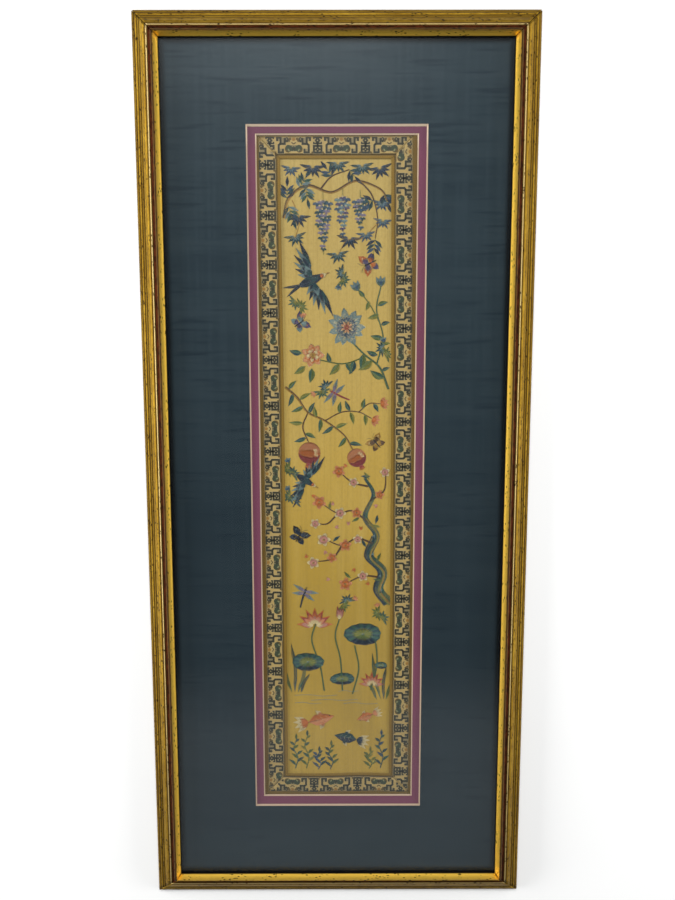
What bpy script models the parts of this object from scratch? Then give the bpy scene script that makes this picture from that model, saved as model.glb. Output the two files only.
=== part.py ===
"""Framed silk embroidery panel: a gilt frame on its back, with its glass, mats and embroidered silk.

Metres, +Z up. The face of the picture looks up (+Z) and its top points along +Y. The origin is at the
middle of the frame, on the flat back of the rails. The pieces lie in the rebate as a framer stacks them:
glass, outer mat, inner mat, the embroidered silk with its ribbon and braid borders, backing board.
"""

import math
from typing import NamedTuple

import bmesh
import bpy
from mathutils import Vector

# The frame
FRAME_WIDTH = 0.366
FRAME_HEIGHT = 0.855
PIECE_GAP = 0.0003  # the play left between pieces that touch
RAIL_SIDE_HEIGHT = 0.0040  # the plain outer side, from the back up
RAIL_WIDTH = 0.0245
REBATE_START = 0.0190  # in from the outer side
REBATE_DEPTH = 0.0128  # up from the back to the ledge that the glass lies against
STACK_PLAY = 0.0010  # between the rebate's wall and the edge of the glass, mats and board

# What lies in the rebate, from the glass down
GLASS_THICKNESS = 0.0020
OUTER_MAT_THICKNESS = 0.0020
INNER_MAT_THICKNESS = 0.0016
BORDER_THICKNESS = 0.0010  # the ribbon and both braids
SILK_THICKNESS = 0.0010
BOARD_THICKNESS = 0.0025

# The embroidered panel: its ribbon's outer edge, and the widths of its bands
PANEL_HALF_WIDTH = 0.0702
PANEL_TOP = 0.3184
PANEL_BOTTOM = -0.3189
OUTER_BRAID_WIDTH = 0.0045
RIBBON_WIDTH = 0.0160
INNER_BRAID_WIDTH = 0.0033
SILK_MARGIN = 0.0060  # how far the silk runs out past the ribbon, under the braid and the mat

# How the old silk sits: it leans, bows and ripples a little
PANEL_LEAN = 0.00095
PANEL_BOW = 0.00080
PANEL_RIPPLE = 0.00045
RIPPLE_LENGTH = 0.0900
LONG_STEPS = 24
SHORT_STEPS = 12


class Window(NamedTuple):
    """A mat's opening: its half width, top and bottom at the face, and the bevel's width."""

    half_width: float
    top: float
    bottom: float
    bevel: float


OUTER_WINDOW = Window(half_width=0.0826, top=0.3290, bottom=-0.3324, bevel=0.0019)
INNER_WINDOW = Window(half_width=0.0741, top=0.3207, bottom=-0.3226, bevel=0.0015)


class Stretch(NamedTuple):
    """One stretch of the moulding's face: where it ends, how far its middle swells, and its steps."""

    inward: float
    up: float
    swell: float
    steps: int


RAIL_FACE = (
    Stretch(inward=0.0005, up=0.0049, swell=0.0, steps=1),  # worn outer corner
    Stretch(inward=0.0021, up=0.0061, swell=0.00015, steps=2),  # outer bevel
    Stretch(inward=0.0027, up=0.0060, swell=0.0, steps=1),  # quirk
    Stretch(inward=0.0048, up=0.0082, swell=0.00055, steps=5),  # first bead
    Stretch(inward=0.0054, up=0.0081, swell=0.0, steps=1),  # quirk
    Stretch(inward=0.0071, up=0.0098, swell=0.00045, steps=5),  # second bead
    Stretch(inward=0.0077, up=0.0097, swell=0.0, steps=1),  # quirk
    Stretch(inward=0.0129, up=0.0152, swell=0.0011, steps=8),  # broad rib
    Stretch(inward=0.0134, up=0.0150, swell=0.0, steps=1),  # quirk
    Stretch(inward=0.0136, up=0.0163, swell=0.0, steps=1),  # step up to the fillet
    Stretch(inward=0.0150, up=0.0171, swell=0.0001, steps=2),  # pale fillet
    Stretch(inward=0.0155, up=0.0168, swell=0.0, steps=1),  # edge of the hollow
    Stretch(inward=0.0200, up=0.0216, swell=-0.0009, steps=7),  # dark red hollow
    Stretch(inward=0.0204, up=0.0222, swell=0.0, steps=1),  # ridge
    Stretch(inward=0.0210, up=0.0221, swell=0.0001, steps=2),  # top of the ridge
    Stretch(inward=RAIL_WIDTH, up=0.0158, swell=0.0006, steps=6),  # bright inner slope
)


class Finish(NamedTuple):
    """The plain look of a piece."""

    colour: tuple[float, float, float]
    roughness: float
    metallic: float = 0.0
    alpha: float = 1.0


GILT = Finish(colour=(0.52, 0.36, 0.10), roughness=0.38, metallic=0.75)
CLEAR_GLASS = Finish(colour=(0.92, 0.95, 0.95), roughness=0.04, alpha=0.16)
SLATE_SILK = Finish(colour=(0.045, 0.065, 0.085), roughness=0.62)
PLUM_CARD = Finish(colour=(0.16, 0.06, 0.10), roughness=0.75)
STRAW_SILK = Finish(colour=(0.52, 0.38, 0.16), roughness=0.52)
PATTERNED_RIBBON = Finish(colour=(0.30, 0.28, 0.20), roughness=0.65)
GOLD_BRAID = Finish(colour=(0.40, 0.27, 0.09), roughness=0.45, metallic=0.3)
GREY_BOARD = Finish(colour=(0.36, 0.30, 0.23), roughness=0.85)


def clear_scene() -> None:
    """Remove every object that the scene holds."""
    for thing in list(bpy.data.objects):
        bpy.data.objects.remove(thing, do_unlink=True)


def make_material(name: str, finish: Finish) -> bpy.types.Material:
    """Make a Principled material from a finish."""
    material = bpy.data.materials.new(name)
    material.use_nodes = True
    shader = material.node_tree.nodes["Principled BSDF"]
    shader.inputs["Base Color"].default_value = (*finish.colour, 1.0)
    shader.inputs["Roughness"].default_value = finish.roughness
    shader.inputs["Metallic"].default_value = finish.metallic
    shader.inputs["Alpha"].default_value = finish.alpha
    return material


def make_holder(name: str) -> bpy.types.Object:
    """Make an empty that a group of pieces hangs on."""
    holder = bpy.data.objects.new(name, None)
    bpy.context.scene.collection.objects.link(holder)
    return holder


def loft(name: str, rings: list[list[Vector]], finish: Finish, holder: bpy.types.Object,
         closed: bool = False) -> bpy.types.Object:
    """Join rings of points into one closed body.

    Each ring has the same number of points, in the same order. Neighbouring rings are joined by quads.
    The first and last rings are filled, or joined to each other where the body closes on itself.
    """
    body = bmesh.new()
    rows = [[body.verts.new(point) for point in ring] for ring in rings]
    pairs = list(zip(rows, rows[1:]))
    if closed:
        pairs.append((rows[-1], rows[0]))
    else:
        body.faces.new(rows[0])
        body.faces.new(rows[-1])
    for near, far in pairs:
        for index in range(len(near)):
            after = (index + 1) % len(near)
            body.faces.new((near[index], near[after], far[after], far[index]))
    bmesh.ops.recalc_face_normals(body, faces=body.faces)
    mesh = bpy.data.meshes.new(name)
    body.to_mesh(mesh)
    body.free()
    mesh.materials.append(make_material(name, finish))
    piece = bpy.data.objects.new(name, mesh)
    piece.parent = holder
    bpy.context.scene.collection.objects.link(piece)
    return piece


def rail_section() -> list[tuple[float, float]]:
    """Work out the moulding's section, as distances in from the outer side and up from the back.

    Each stretch runs straight to its end, and its middle stands off that line by a half sine of its swell.
    """
    inward, up = 0.0, RAIL_SIDE_HEIGHT
    section = [(0.0, 0.0), (inward, up)]
    for stretch in RAIL_FACE:
        along = Vector((stretch.inward - inward, stretch.up - up))
        off = Vector((-along.y, along.x)).normalized()
        for step in range(1, stretch.steps + 1):
            share = step / stretch.steps
            point = Vector((inward, up)) + along * share + off * (stretch.swell * math.sin(math.pi * share))
            section.append((point.x, point.y))
        inward, up = stretch.inward, stretch.up
    section += [(RAIL_WIDTH, REBATE_DEPTH), (REBATE_START, REBATE_DEPTH), (REBATE_START, 0.0)]
    return section


def make_rail(name: str, length: float, place: tuple[float, float], turn: float,
              holder: bpy.types.Object) -> None:
    """Make one mitred rail. It is drawn along Y with its outer side at x = 0, then turned into place."""
    rings = []
    for end in (-1.0, 1.0):
        rings.append([
            Vector((inward, end * (length / 2 - inward - PIECE_GAP), up))
            for inward, up in rail_section()
        ])
    rail = loft(name, rings, GILT, holder)
    rail.location = (place[0], place[1], 0.0)
    rail.rotation_euler = (0.0, 0.0, turn)


def make_frame() -> None:
    """Make the four gilt rails."""
    holder = make_holder("gilt_frame")
    half_width, half_height = FRAME_WIDTH / 2, FRAME_HEIGHT / 2
    quarter = math.pi / 2
    make_rail("rail_left", FRAME_HEIGHT, (-half_width, 0.0), 0.0, holder)
    make_rail("rail_bottom", FRAME_WIDTH, (0.0, -half_height), quarter, holder)
    make_rail("rail_right", FRAME_HEIGHT, (half_width, 0.0), 2 * quarter, holder)
    make_rail("rail_top", FRAME_WIDTH, (0.0, half_height), -quarter, holder)


def rectangle(half_width: float, bottom: float, top: float, up: float) -> list[Vector]:
    """Give the four corners of a level rectangle, anticlockwise from the lower left."""
    return [
        Vector((-half_width, bottom, up)), Vector((half_width, bottom, up)),
        Vector((half_width, top, up)), Vector((-half_width, top, up)),
    ]


def make_sheet(name: str, low: float, high: float, finish: Finish, holder: bpy.types.Object) -> None:
    """Make a full-size plain sheet, such as the glass, that fills the rebate."""
    half_width = FRAME_WIDTH / 2 - REBATE_START - STACK_PLAY
    half_height = FRAME_HEIGHT / 2 - REBATE_START - STACK_PLAY
    rings = [rectangle(half_width, -half_height, half_height, up) for up in (low, high)]
    loft(name, rings, finish, holder)


def make_mat(name: str, low: float, high: float, window: Window, finish: Finish,
             holder: bpy.types.Object) -> None:
    """Make a mat board whose window's bevel slopes in and down to the picture."""
    half_width = FRAME_WIDTH / 2 - REBATE_START - STACK_PLAY
    half_height = FRAME_HEIGHT / 2 - REBATE_START - STACK_PLAY
    rings = [
        rectangle(half_width, -half_height, half_height, low),
        rectangle(half_width, -half_height, half_height, high),
        rectangle(window.half_width, window.bottom, window.top, high),
        rectangle(window.half_width - window.bevel, window.bottom + window.bevel,
                  window.top - window.bevel, low),
    ]
    loft(name, rings, finish, holder, closed=True)


def settle(x: float, y: float, up: float) -> Vector:
    """Move a point of the straight panel to where the mounted silk has it.

    The panel leans along its height, bows sideways as a cosine of it, and its lower end ripples as a sine
    of the distance across.
    """
    middle = (PANEL_TOP + PANEL_BOTTOM) / 2
    height = (y - middle) / (PANEL_TOP - middle)
    sideways = -PANEL_LEAN * height + PANEL_BOW * (math.cos(math.pi * height / 2) - 0.5)
    ripple = PANEL_RIPPLE * (1 - height) / 2 * math.sin(2 * math.pi * x / RIPPLE_LENGTH)
    return Vector((x + sideways, y + ripple, up))


def make_border(name: str, inset: float, width: float, low: float, high: float, finish: Finish,
                holder: bpy.types.Object) -> None:
    """Make the four mitred strips of one border.

    The inset is the distance from the panel's edge to the strip's outer edge, and the width runs inwards.
    """
    for side in ("left", "bottom", "right", "top"):
        upright = side in ("left", "right")
        first = -1.0 if side in ("left", "bottom") else 1.0
        rings = []
        steps = LONG_STEPS if upright else SHORT_STEPS
        for step in range(steps + 1):
            share = 2 * step / steps - 1
            edges = [strip_point(upright, first, share, depth) for depth in (inset, inset + width)]
            rings.append([settle(*edges[0], high), settle(*edges[1], high),
                          settle(*edges[1], low), settle(*edges[0], low)])
        loft(f"{name}_{side}", rings, finish, holder)


def strip_point(upright: bool, first: float, share: float, depth: float) -> tuple[float, float]:
    """Give a point of a border's strip, from its share along the strip (-1 to 1) and its depth inwards."""
    middle = (PANEL_TOP + PANEL_BOTTOM) / 2
    half_height = (PANEL_TOP - PANEL_BOTTOM) / 2
    if upright:
        return first * (PANEL_HALF_WIDTH - depth), middle + share * (half_height - depth - PIECE_GAP)
    return share * (PANEL_HALF_WIDTH - depth - PIECE_GAP), middle + first * (half_height - depth)


def make_silk(low: float, high: float, holder: bpy.types.Object) -> None:
    """Make the embroidered silk, which runs out under the ribbon, the braid and the mat."""
    rings = []
    for step in range(LONG_STEPS + 1):
        y = PANEL_BOTTOM - SILK_MARGIN + (PANEL_TOP - PANEL_BOTTOM + 2 * SILK_MARGIN) * step / LONG_STEPS
        half_width = PANEL_HALF_WIDTH + SILK_MARGIN
        rings.append([settle(x, y, up) for x, up in (
            (-half_width, high), (half_width, high), (half_width, low), (-half_width, low))])
    loft("silk_ground", rings, STRAW_SILK, holder)


def make_picture() -> None:
    """Make everything that lies in the rebate, from the glass down to the backing board."""
    holder = make_holder("mounted_picture")
    glass_top = REBATE_DEPTH - PIECE_GAP
    glass_low = glass_top - GLASS_THICKNESS
    outer_top = glass_low - PIECE_GAP
    outer_low = outer_top - OUTER_MAT_THICKNESS
    inner_top = outer_low - PIECE_GAP
    inner_low = inner_top - INNER_MAT_THICKNESS
    border_top = inner_low - PIECE_GAP
    border_low = border_top - BORDER_THICKNESS
    silk_top = border_low - PIECE_GAP
    silk_low = silk_top - SILK_THICKNESS
    board_top = silk_low - PIECE_GAP
    make_sheet("glass", glass_low, glass_top, CLEAR_GLASS, holder)
    make_mat("outer_mat", outer_low, outer_top, OUTER_WINDOW, SLATE_SILK, holder)
    make_mat("inner_mat", inner_low, inner_top, INNER_WINDOW, PLUM_CARD, holder)
    make_border("outer_braid", -OUTER_BRAID_WIDTH - PIECE_GAP, OUTER_BRAID_WIDTH, border_low, border_top,
                GOLD_BRAID, holder)
    make_border("ribbon", 0.0, RIBBON_WIDTH, border_low, border_top, PATTERNED_RIBBON, holder)
    make_border("inner_braid", RIBBON_WIDTH + PIECE_GAP, INNER_BRAID_WIDTH, border_low, border_top,
                GOLD_BRAID, holder)
    make_silk(silk_low, silk_top, holder)
    make_sheet("backing_board", board_top - BOARD_THICKNESS, board_top, GREY_BOARD, holder)


def main() -> None:
    """Build the framed panel."""
    clear_scene()
    make_frame()
    make_picture()


main()
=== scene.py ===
"""Looks of the framed silk embroidery panel: gilt rails, glass, mats, ribbon, braid and stitched silk.

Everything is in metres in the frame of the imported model: the panel lies on its back, its face looks up
(+Z) and its top points along +Y. Each class below builds and dresses one sub-assembly.
"""

import logging
import math
from dataclasses import dataclass, field
from enum import Enum
from typing import Any, Sequence

import bmesh
import bpy
import numpy as np
from mathutils import Matrix, Vector


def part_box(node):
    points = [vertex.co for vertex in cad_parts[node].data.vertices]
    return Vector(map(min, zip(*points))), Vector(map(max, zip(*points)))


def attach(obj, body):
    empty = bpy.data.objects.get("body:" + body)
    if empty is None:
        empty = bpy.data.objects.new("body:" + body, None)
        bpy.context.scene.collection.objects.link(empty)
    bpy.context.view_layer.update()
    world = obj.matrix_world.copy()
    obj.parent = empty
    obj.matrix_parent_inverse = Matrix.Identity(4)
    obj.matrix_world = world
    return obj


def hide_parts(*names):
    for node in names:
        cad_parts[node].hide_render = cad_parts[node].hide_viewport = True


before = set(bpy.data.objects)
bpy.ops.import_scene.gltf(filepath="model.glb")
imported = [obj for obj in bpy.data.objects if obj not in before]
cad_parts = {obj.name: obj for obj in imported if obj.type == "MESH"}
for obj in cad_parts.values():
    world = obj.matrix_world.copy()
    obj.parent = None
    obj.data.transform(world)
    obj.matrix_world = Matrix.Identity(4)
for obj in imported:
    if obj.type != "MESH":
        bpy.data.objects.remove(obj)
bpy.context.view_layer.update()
LOG = logging.getLogger("framed_panel")
MM = 0.001
BODY = "root"
TINY = 1e-12
GOLDEN_ANGLE = 2.39996
MIX_COLOURS = (6, 7)
MIX_RESULT = 2
SIDES = ("left", "bottom", "right", "top")
Array = np.ndarray
Material = bpy.types.Material
Piece = bpy.types.Object
Place = Span = tuple[float, float]
Point = Colour = tuple[float, float, float]


class Face(Enum):
    """What a stretch of the moulding is finished with: its shares of bole, dark line and bright leaf. Full
    bole with full line paints a near-black shadow on the rebate lip, and the bright share paints highlight on
    the fillet, the inner slope and the line along the bole's hollow.
    """

    LEAF = (0.0, 0.0, 0.0)
    DULL = (0.0, 0.35, 0.0)
    BOLE = (1.0, 0.0, 0.0)
    SOOT = (1.0, 0.35, 0.0)
    LINE = (0.0, 1.0, 0.0)
    FILLET = (0.0, 0.0, 0.6)
    # Partly rubbed-through leaf, partly a painted highlight along the bole's hollow.
    RUBBED_GLINT = (0.55, 0.0, 0.25)
    BRIGHT = (0.0, 0.0, 1.0)
    # Painted shadow: the rebate lip's inner face, made near black.
    RAW = (1.0, 1.0, 0.0)
    WOOD = (0.0, 1.0, 1.0)


class Floss(Enum):
    """The embroidery silks, each with its colour in linear light."""

    NAVY = (0.014, 0.026, 0.044)
    BLUE = (0.037, 0.076, 0.122)
    SKY = (0.140, 0.205, 0.200)
    TEAL = (0.018, 0.056, 0.060)
    JADE = (0.040, 0.100, 0.068)
    LEAF = (0.090, 0.125, 0.030)
    MOSS = (0.190, 0.185, 0.036)
    OCHRE = (0.310, 0.175, 0.030)
    CREAM = (0.520, 0.430, 0.220)
    ORANGE = (0.420, 0.125, 0.026)
    SALMON = (0.480, 0.200, 0.085)
    PINK = (0.430, 0.200, 0.150)
    ROSE = (0.250, 0.045, 0.042)
    PURPLE = (0.075, 0.058, 0.115)
    LILAC = (0.185, 0.155, 0.205)
    BROWN = (0.095, 0.050, 0.020)
    BLACK = (0.012, 0.012, 0.015)


(NAVY, BLUE, SKY, TEAL, JADE, LEAF, MOSS, OCHRE, CREAM, ORANGE, SALMON, PINK, ROSE, PURPLE, LILAC, BROWN,
 BLACK) = Floss


class Value:
    """A number socket of a material, on which Python's operators add Math nodes."""

    def __init__(self, dye: "Dye", socket: Any) -> None:
        """Keep the material's builder and the socket."""
        self.dye = dye
        self.socket = socket

    def maths(self, operation: str, other: Any = None, reflected: bool = False) -> "Value":
        """Add a Math node of this value and another.

        Args:
            operation: the Math node's operation.
            other: a Value or a number, or None where the operation takes one input.
            reflected: True where the other value comes first.

        Returns:
            The node's result.
        """
        inputs = [self] if other is None else [self, other]
        if reflected:
            inputs.reverse()
        node = self.dye.node("ShaderNodeMath", {"operation": operation}, dict(enumerate(inputs)))
        return Value(self.dye, node.outputs[0])

    def __add__(self, other: Any) -> "Value":
        """Add."""
        return self.maths("ADD", other)

    def __radd__(self, other: Any) -> "Value":
        """Add, the other first."""
        return self.maths("ADD", other, True)

    def __sub__(self, other: Any) -> "Value":
        """Take away."""
        return self.maths("SUBTRACT", other)

    def __rsub__(self, other: Any) -> "Value":
        """Take this from the other."""
        return self.maths("SUBTRACT", other, True)

    def __mul__(self, other: Any) -> "Value":
        """Multiply."""
        return self.maths("MULTIPLY", other)

    def __rmul__(self, other: Any) -> "Value":
        """Multiply, the other first."""
        return self.maths("MULTIPLY", other, True)

    def between(self, low: float, high: float) -> "Value":
        """Rise smoothly from 0 at low to 1 at high, or fall where low is the greater."""
        settings = {"interpolation_type": "SMOOTHSTEP"}
        sockets = {"Value": self, "From Min": low, "From Max": high}
        node = self.dye.node("ShaderNodeMapRange", settings, sockets)
        return Value(self.dye, node.outputs["Result"])


class Dye:
    """Builds one material: a Principled shader and the nodes that feed it."""

    def __init__(self, name: str, **constants: Any) -> None:
        """Make the material and set the shader's constant sockets.

        Args:
            name: the material's name.
            constants: socket values, by the socket's name with underscores for spaces.
        """
        self.material = bpy.data.materials.new(name)
        self.material.use_nodes = True
        self.tree = self.material.node_tree
        self.shader = self.tree.nodes["Principled BSDF"]
        for key, value in constants.items():
            self.feed(key.replace("_", " "), value)

    def node(self, kind: str, settings: dict[str, Any] | None = None,
             sockets: dict[Any, Any] | None = None) -> bpy.types.Node:
        """Add a node, set its settings first, and then fill or link its input sockets.

        Args:
            kind: the node's type name.
            settings: its properties, such as an operation, or the stops of a ramp.
            sockets: input values, Values or sockets, by name or number.

        Returns:
            The new node.
        """
        node = self.tree.nodes.new(kind)
        for key, value in (settings or {}).items():
            if key == "stops":
                self.set_stops(node.color_ramp, value)
            else:
                setattr(node, key, value)
        for key, value in (sockets or {}).items():
            self.fill(node.inputs[key], value)
        return node

    @staticmethod
    def set_stops(ramp: bpy.types.ColorRamp, stops: Sequence[tuple[float, Colour]]) -> None:
        """Give a ramp its stops, each a place and a colour."""
        while len(ramp.elements) < len(stops):
            ramp.elements.new(1.0)
        for element, (place, colour) in zip(ramp.elements, stops):
            element.position = place
            element.color = (*colour, 1.0)

    def fill(self, socket: Any, value: Any) -> None:
        """Link a socket to a Value or an output, or set it to a number, vector or colour."""
        if isinstance(value, Value):
            value = value.socket
        if isinstance(value, bpy.types.NodeSocket):
            self.tree.links.new(value, socket)
        elif socket.type == "RGBA":
            socket.default_value = (*value, 1.0)
        else:
            socket.default_value = value

    def feed(self, socket: str, value: Any) -> None:
        """Set or link one of the Principled shader's sockets."""
        self.fill(self.shader.inputs[socket], value)

    def place(self, scale: Sequence[float] = (1.0, 1.0, 1.0)) -> Any:
        """Give the object's own coordinates, scaled."""
        return self.mapped(self.node("ShaderNodeTexCoord").outputs["Object"], scale)

    def surface(self, name: str, scale: Sequence[float]) -> Any:
        """Give a UV map's coordinates, scaled."""
        return self.mapped(self.node("ShaderNodeUVMap", {"uv_map": name}).outputs["UV"], scale)

    def mapped(self, source: Any, scale: Sequence[float]) -> Any:
        """Scale a coordinate."""
        return self.node("ShaderNodeMapping", None, {"Vector": source, "Scale": tuple(scale)}).outputs[0]

    def noise(self, vector: Any, scale: float, detail: float, roughness: float = 0.55) -> Value:
        """Give soft noise from 0 to 1."""
        sockets = {"Vector": vector, "Scale": scale, "Detail": detail, "Roughness": roughness}
        return Value(self, self.node("ShaderNodeTexNoise", None, sockets).outputs[0])

    def grain(self, x_scale: float, y_scale: float, detail: float, roughness: float = 0.55) -> Value:
        """Give soft noise in the object's own coordinates, with its own scale along X and along Y."""
        return self.noise(self.place((x_scale, y_scale, 1.0)), 1.0, detail, roughness)

    def cells(self, vector: Any, scale: float) -> Value:
        """Give the distance to the nearest of many scattered points."""
        node = self.node("ShaderNodeTexVoronoi", None, {"Vector": vector, "Scale": scale})
        return Value(self, node.outputs["Distance"])

    def waves(self, vector: Any, scale: float, direction: str, distortion: float) -> Value:
        """Give even waves across one axis, from 0 to 1."""
        settings = {"wave_type": "BANDS", "bands_direction": direction}
        sockets = {"Vector": vector, "Scale": scale, "Distortion": distortion, "Detail": 1.0}
        return Value(self, self.node("ShaderNodeTexWave", settings, sockets).outputs["Fac"])

    def parts(self, vector: Any) -> tuple[Value, Value, Value]:
        """Split a vector or colour into its three numbers."""
        node = self.node("ShaderNodeSeparateXYZ", None, {0: vector})
        return tuple(Value(self, node.outputs[index]) for index in range(3))

    def attribute(self, name: str) -> Any:
        """Give an attribute of the mesh as a vector."""
        return self.node("ShaderNodeAttribute", {"attribute_name": name}).outputs["Vector"]

    def mix(self, factor: Any, first: Any, second: Any) -> Any:
        """Mix two colours by a factor from 0 to 1."""
        colours = dict(zip(MIX_COLOURS, (first, second)))
        node = self.node("ShaderNodeMix", {"data_type": "RGBA"}, {"Factor": factor, **colours})
        return node.outputs[MIX_RESULT]

    def ramp(self, factor: Any, stops: Sequence[tuple[float, Colour]]) -> Any:
        """Read a colour off a ramp."""
        return self.node("ShaderNodeValToRGB", {"stops": stops}, {"Fac": factor}).outputs[0]

    def bump(self, height: Value, depth: float, strength: float) -> None:
        """Raise the surface by a height from 0 to 1, times a depth in metres."""
        sockets = {"Height": height, "Distance": depth, "Strength": strength}
        self.feed("Normal", self.node("ShaderNodeBump", None, sockets).outputs[0])


def grid_quads(rows: int, columns: int, wrap: bool = False) -> Array:
    """Number the quads of a grid of points, stored row by row.

    Args:
        rows: how many rows of points there are.
        columns: how many points a row has.
        wrap: True where each row is a closed ring.

    Returns:
        One row of four point numbers for each quad.
    """
    row = np.arange(rows - 1)[:, None]
    column = np.arange(columns if wrap else columns - 1)[None, :]
    after = (column + 1) % columns
    corners = (row * columns + column, row * columns + after, (row + 1) * columns + after,
               (row + 1) * columns + column)
    shape = (rows - 1, column.shape[1])
    return np.stack([np.broadcast_to(corner, shape) for corner in corners], -1).reshape(-1, 4)


def tiled(faces: Array, count: int, points_each: int) -> Array:
    """Repeat one shape's faces for many copies whose points follow each other."""
    return (faces[None, :, :] + (np.arange(count) * points_each)[:, None, None]).reshape(-1, faces.shape[1])


def make_piece(name: str, points: Array, faces: Sequence[Array], materials: Sequence[Material],
               smooth: bool = True, chosen: Array | None = None) -> Piece:
    """Turn arrays of points and faces into an object that rides on the frame.

    Args:
        name: the piece's name.
        points: its points, three numbers each.
        faces: arrays of point numbers, one row a face, each array with its own number of corners.
        materials: its materials.
        smooth: True to shade it smooth.
        chosen: the material number of each face, or None for the first one.

    Returns:
        The object.
    """
    mesh = bpy.data.meshes.new(name)
    points = np.asarray(points, np.float32).reshape(-1, 3)
    corners = np.concatenate([part.ravel() for part in faces]).astype(np.int32)
    totals = np.concatenate([np.full(len(part), part.shape[1]) for part in faces]).astype(np.int32)
    mesh.vertices.add(len(points))
    mesh.vertices.foreach_set("co", points.ravel())
    mesh.loops.add(len(corners))
    mesh.loops.foreach_set("vertex_index", corners)
    mesh.polygons.add(len(totals))
    mesh.polygons.foreach_set("loop_start", np.concatenate([[0], np.cumsum(totals)[:-1]]).astype(np.int32))
    mesh.polygons.foreach_set("use_smooth", np.full(len(totals), smooth))
    for material in materials:
        mesh.materials.append(material)
    if chosen is not None:
        mesh.polygons.foreach_set("material_index", np.asarray(chosen, np.int32))
    mesh.update(calc_edges=True)
    mesh.validate()
    piece = bpy.data.objects.new(name, mesh)
    bpy.context.scene.collection.objects.link(piece)
    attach(piece, BODY)
    return piece


def add_surface_map(piece: Piece, name: str, across: Array, along: Array) -> None:
    """Give a piece a UV map from two numbers at each point."""
    layer = piece.data.uv_layers.new(name=name)
    index = np.empty(len(piece.data.loops), np.int32)
    piece.data.loops.foreach_get("vertex_index", index)
    pairs = np.stack([across.ravel()[index], along.ravel()[index]], -1)
    layer.data.foreach_set("uv", pairs.astype(np.float32).ravel())


def add_tint(piece: Piece, name: str, tints: Array) -> None:
    """Give a piece a vector attribute, three numbers at each point."""
    attribute = piece.data.attributes.new(name, "FLOAT_VECTOR", "POINT")
    attribute.data.foreach_set("vector", np.asarray(tints, np.float32).ravel())


def slab(top: Array, thickness: float) -> tuple[Array, list[Array]]:
    """Close a grid of points into a thin slab.

    The lower face is the grid moved down by the thickness, and quads round the rim join the two.

    Args:
        top: the upper face's points, rows by columns by three, rows running so that the face looks up.
        thickness: how far down the lower face lies.

    Returns:
        The points and the faces.
    """
    rows, columns = top.shape[:2]
    count = rows * columns
    low = top - np.array([0.0, 0.0, thickness])
    upper = grid_quads(rows, columns)
    order = np.arange(count).reshape(rows, columns)
    rim = np.concatenate([order[0, :-1], order[:-1, -1], order[-1, :0:-1], order[:0:-1, 0]])
    after = np.roll(rim, -1)
    wall = np.stack([rim, rim + count, after + count, after], -1)
    points = np.concatenate([top.reshape(-1, 3), low.reshape(-1, 3)])
    return points, [upper, upper[:, ::-1] + count, wall]


def curve_through(knots: Sequence[Place], step: float) -> Array:
    """Run a smooth line through points, with a point about every step.

    Each span is a Catmull-Rom cubic: it leaves a knot along the line between the knot's neighbours.
    """
    given = np.asarray(knots, float)
    padded = np.concatenate([[2 * given[0] - given[1]], given, [2 * given[-1] - given[-2]]])
    spans = []
    for index in range(len(given) - 1):
        before, start, end, after = padded[index:index + 4]
        count = max(2, int(np.hypot(*(end - start)) / step))
        t = np.linspace(0.0, 1.0, count, endpoint=False)[:, None]
        spans.append(0.5 * (2 * start + (end - before) * t
                            + (2 * before - 5 * start + 4 * end - after) * t ** 2
                            + (3 * start - before - 3 * end + after) * t ** 3))
    return np.concatenate([*spans, given[-1:]])


def headings(path: Array) -> tuple[Array, Array]:
    """Give the unit direction of a flat path at each of its points, and the unit normal to its left."""
    along = np.gradient(path, axis=0)
    along /= np.maximum(np.linalg.norm(along, axis=1, keepdims=True), TINY)
    return along, np.stack([-along[:, 1], along[:, 0]], -1)


def axes(angle: float) -> tuple[Array, Array]:
    """Give the unit direction at an angle in degrees, and the one to its left."""
    ahead = np.array([math.cos(math.radians(angle)), math.sin(math.radians(angle))])
    return ahead, np.array([-ahead[1], ahead[0]])


@dataclass(frozen=True)
class Stretch:
    """One stretch of the moulding's face: its end, how far its middle swells, its steps and its finish."""

    inward: float
    up: float
    swell: float
    steps: int
    face: Face


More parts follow.
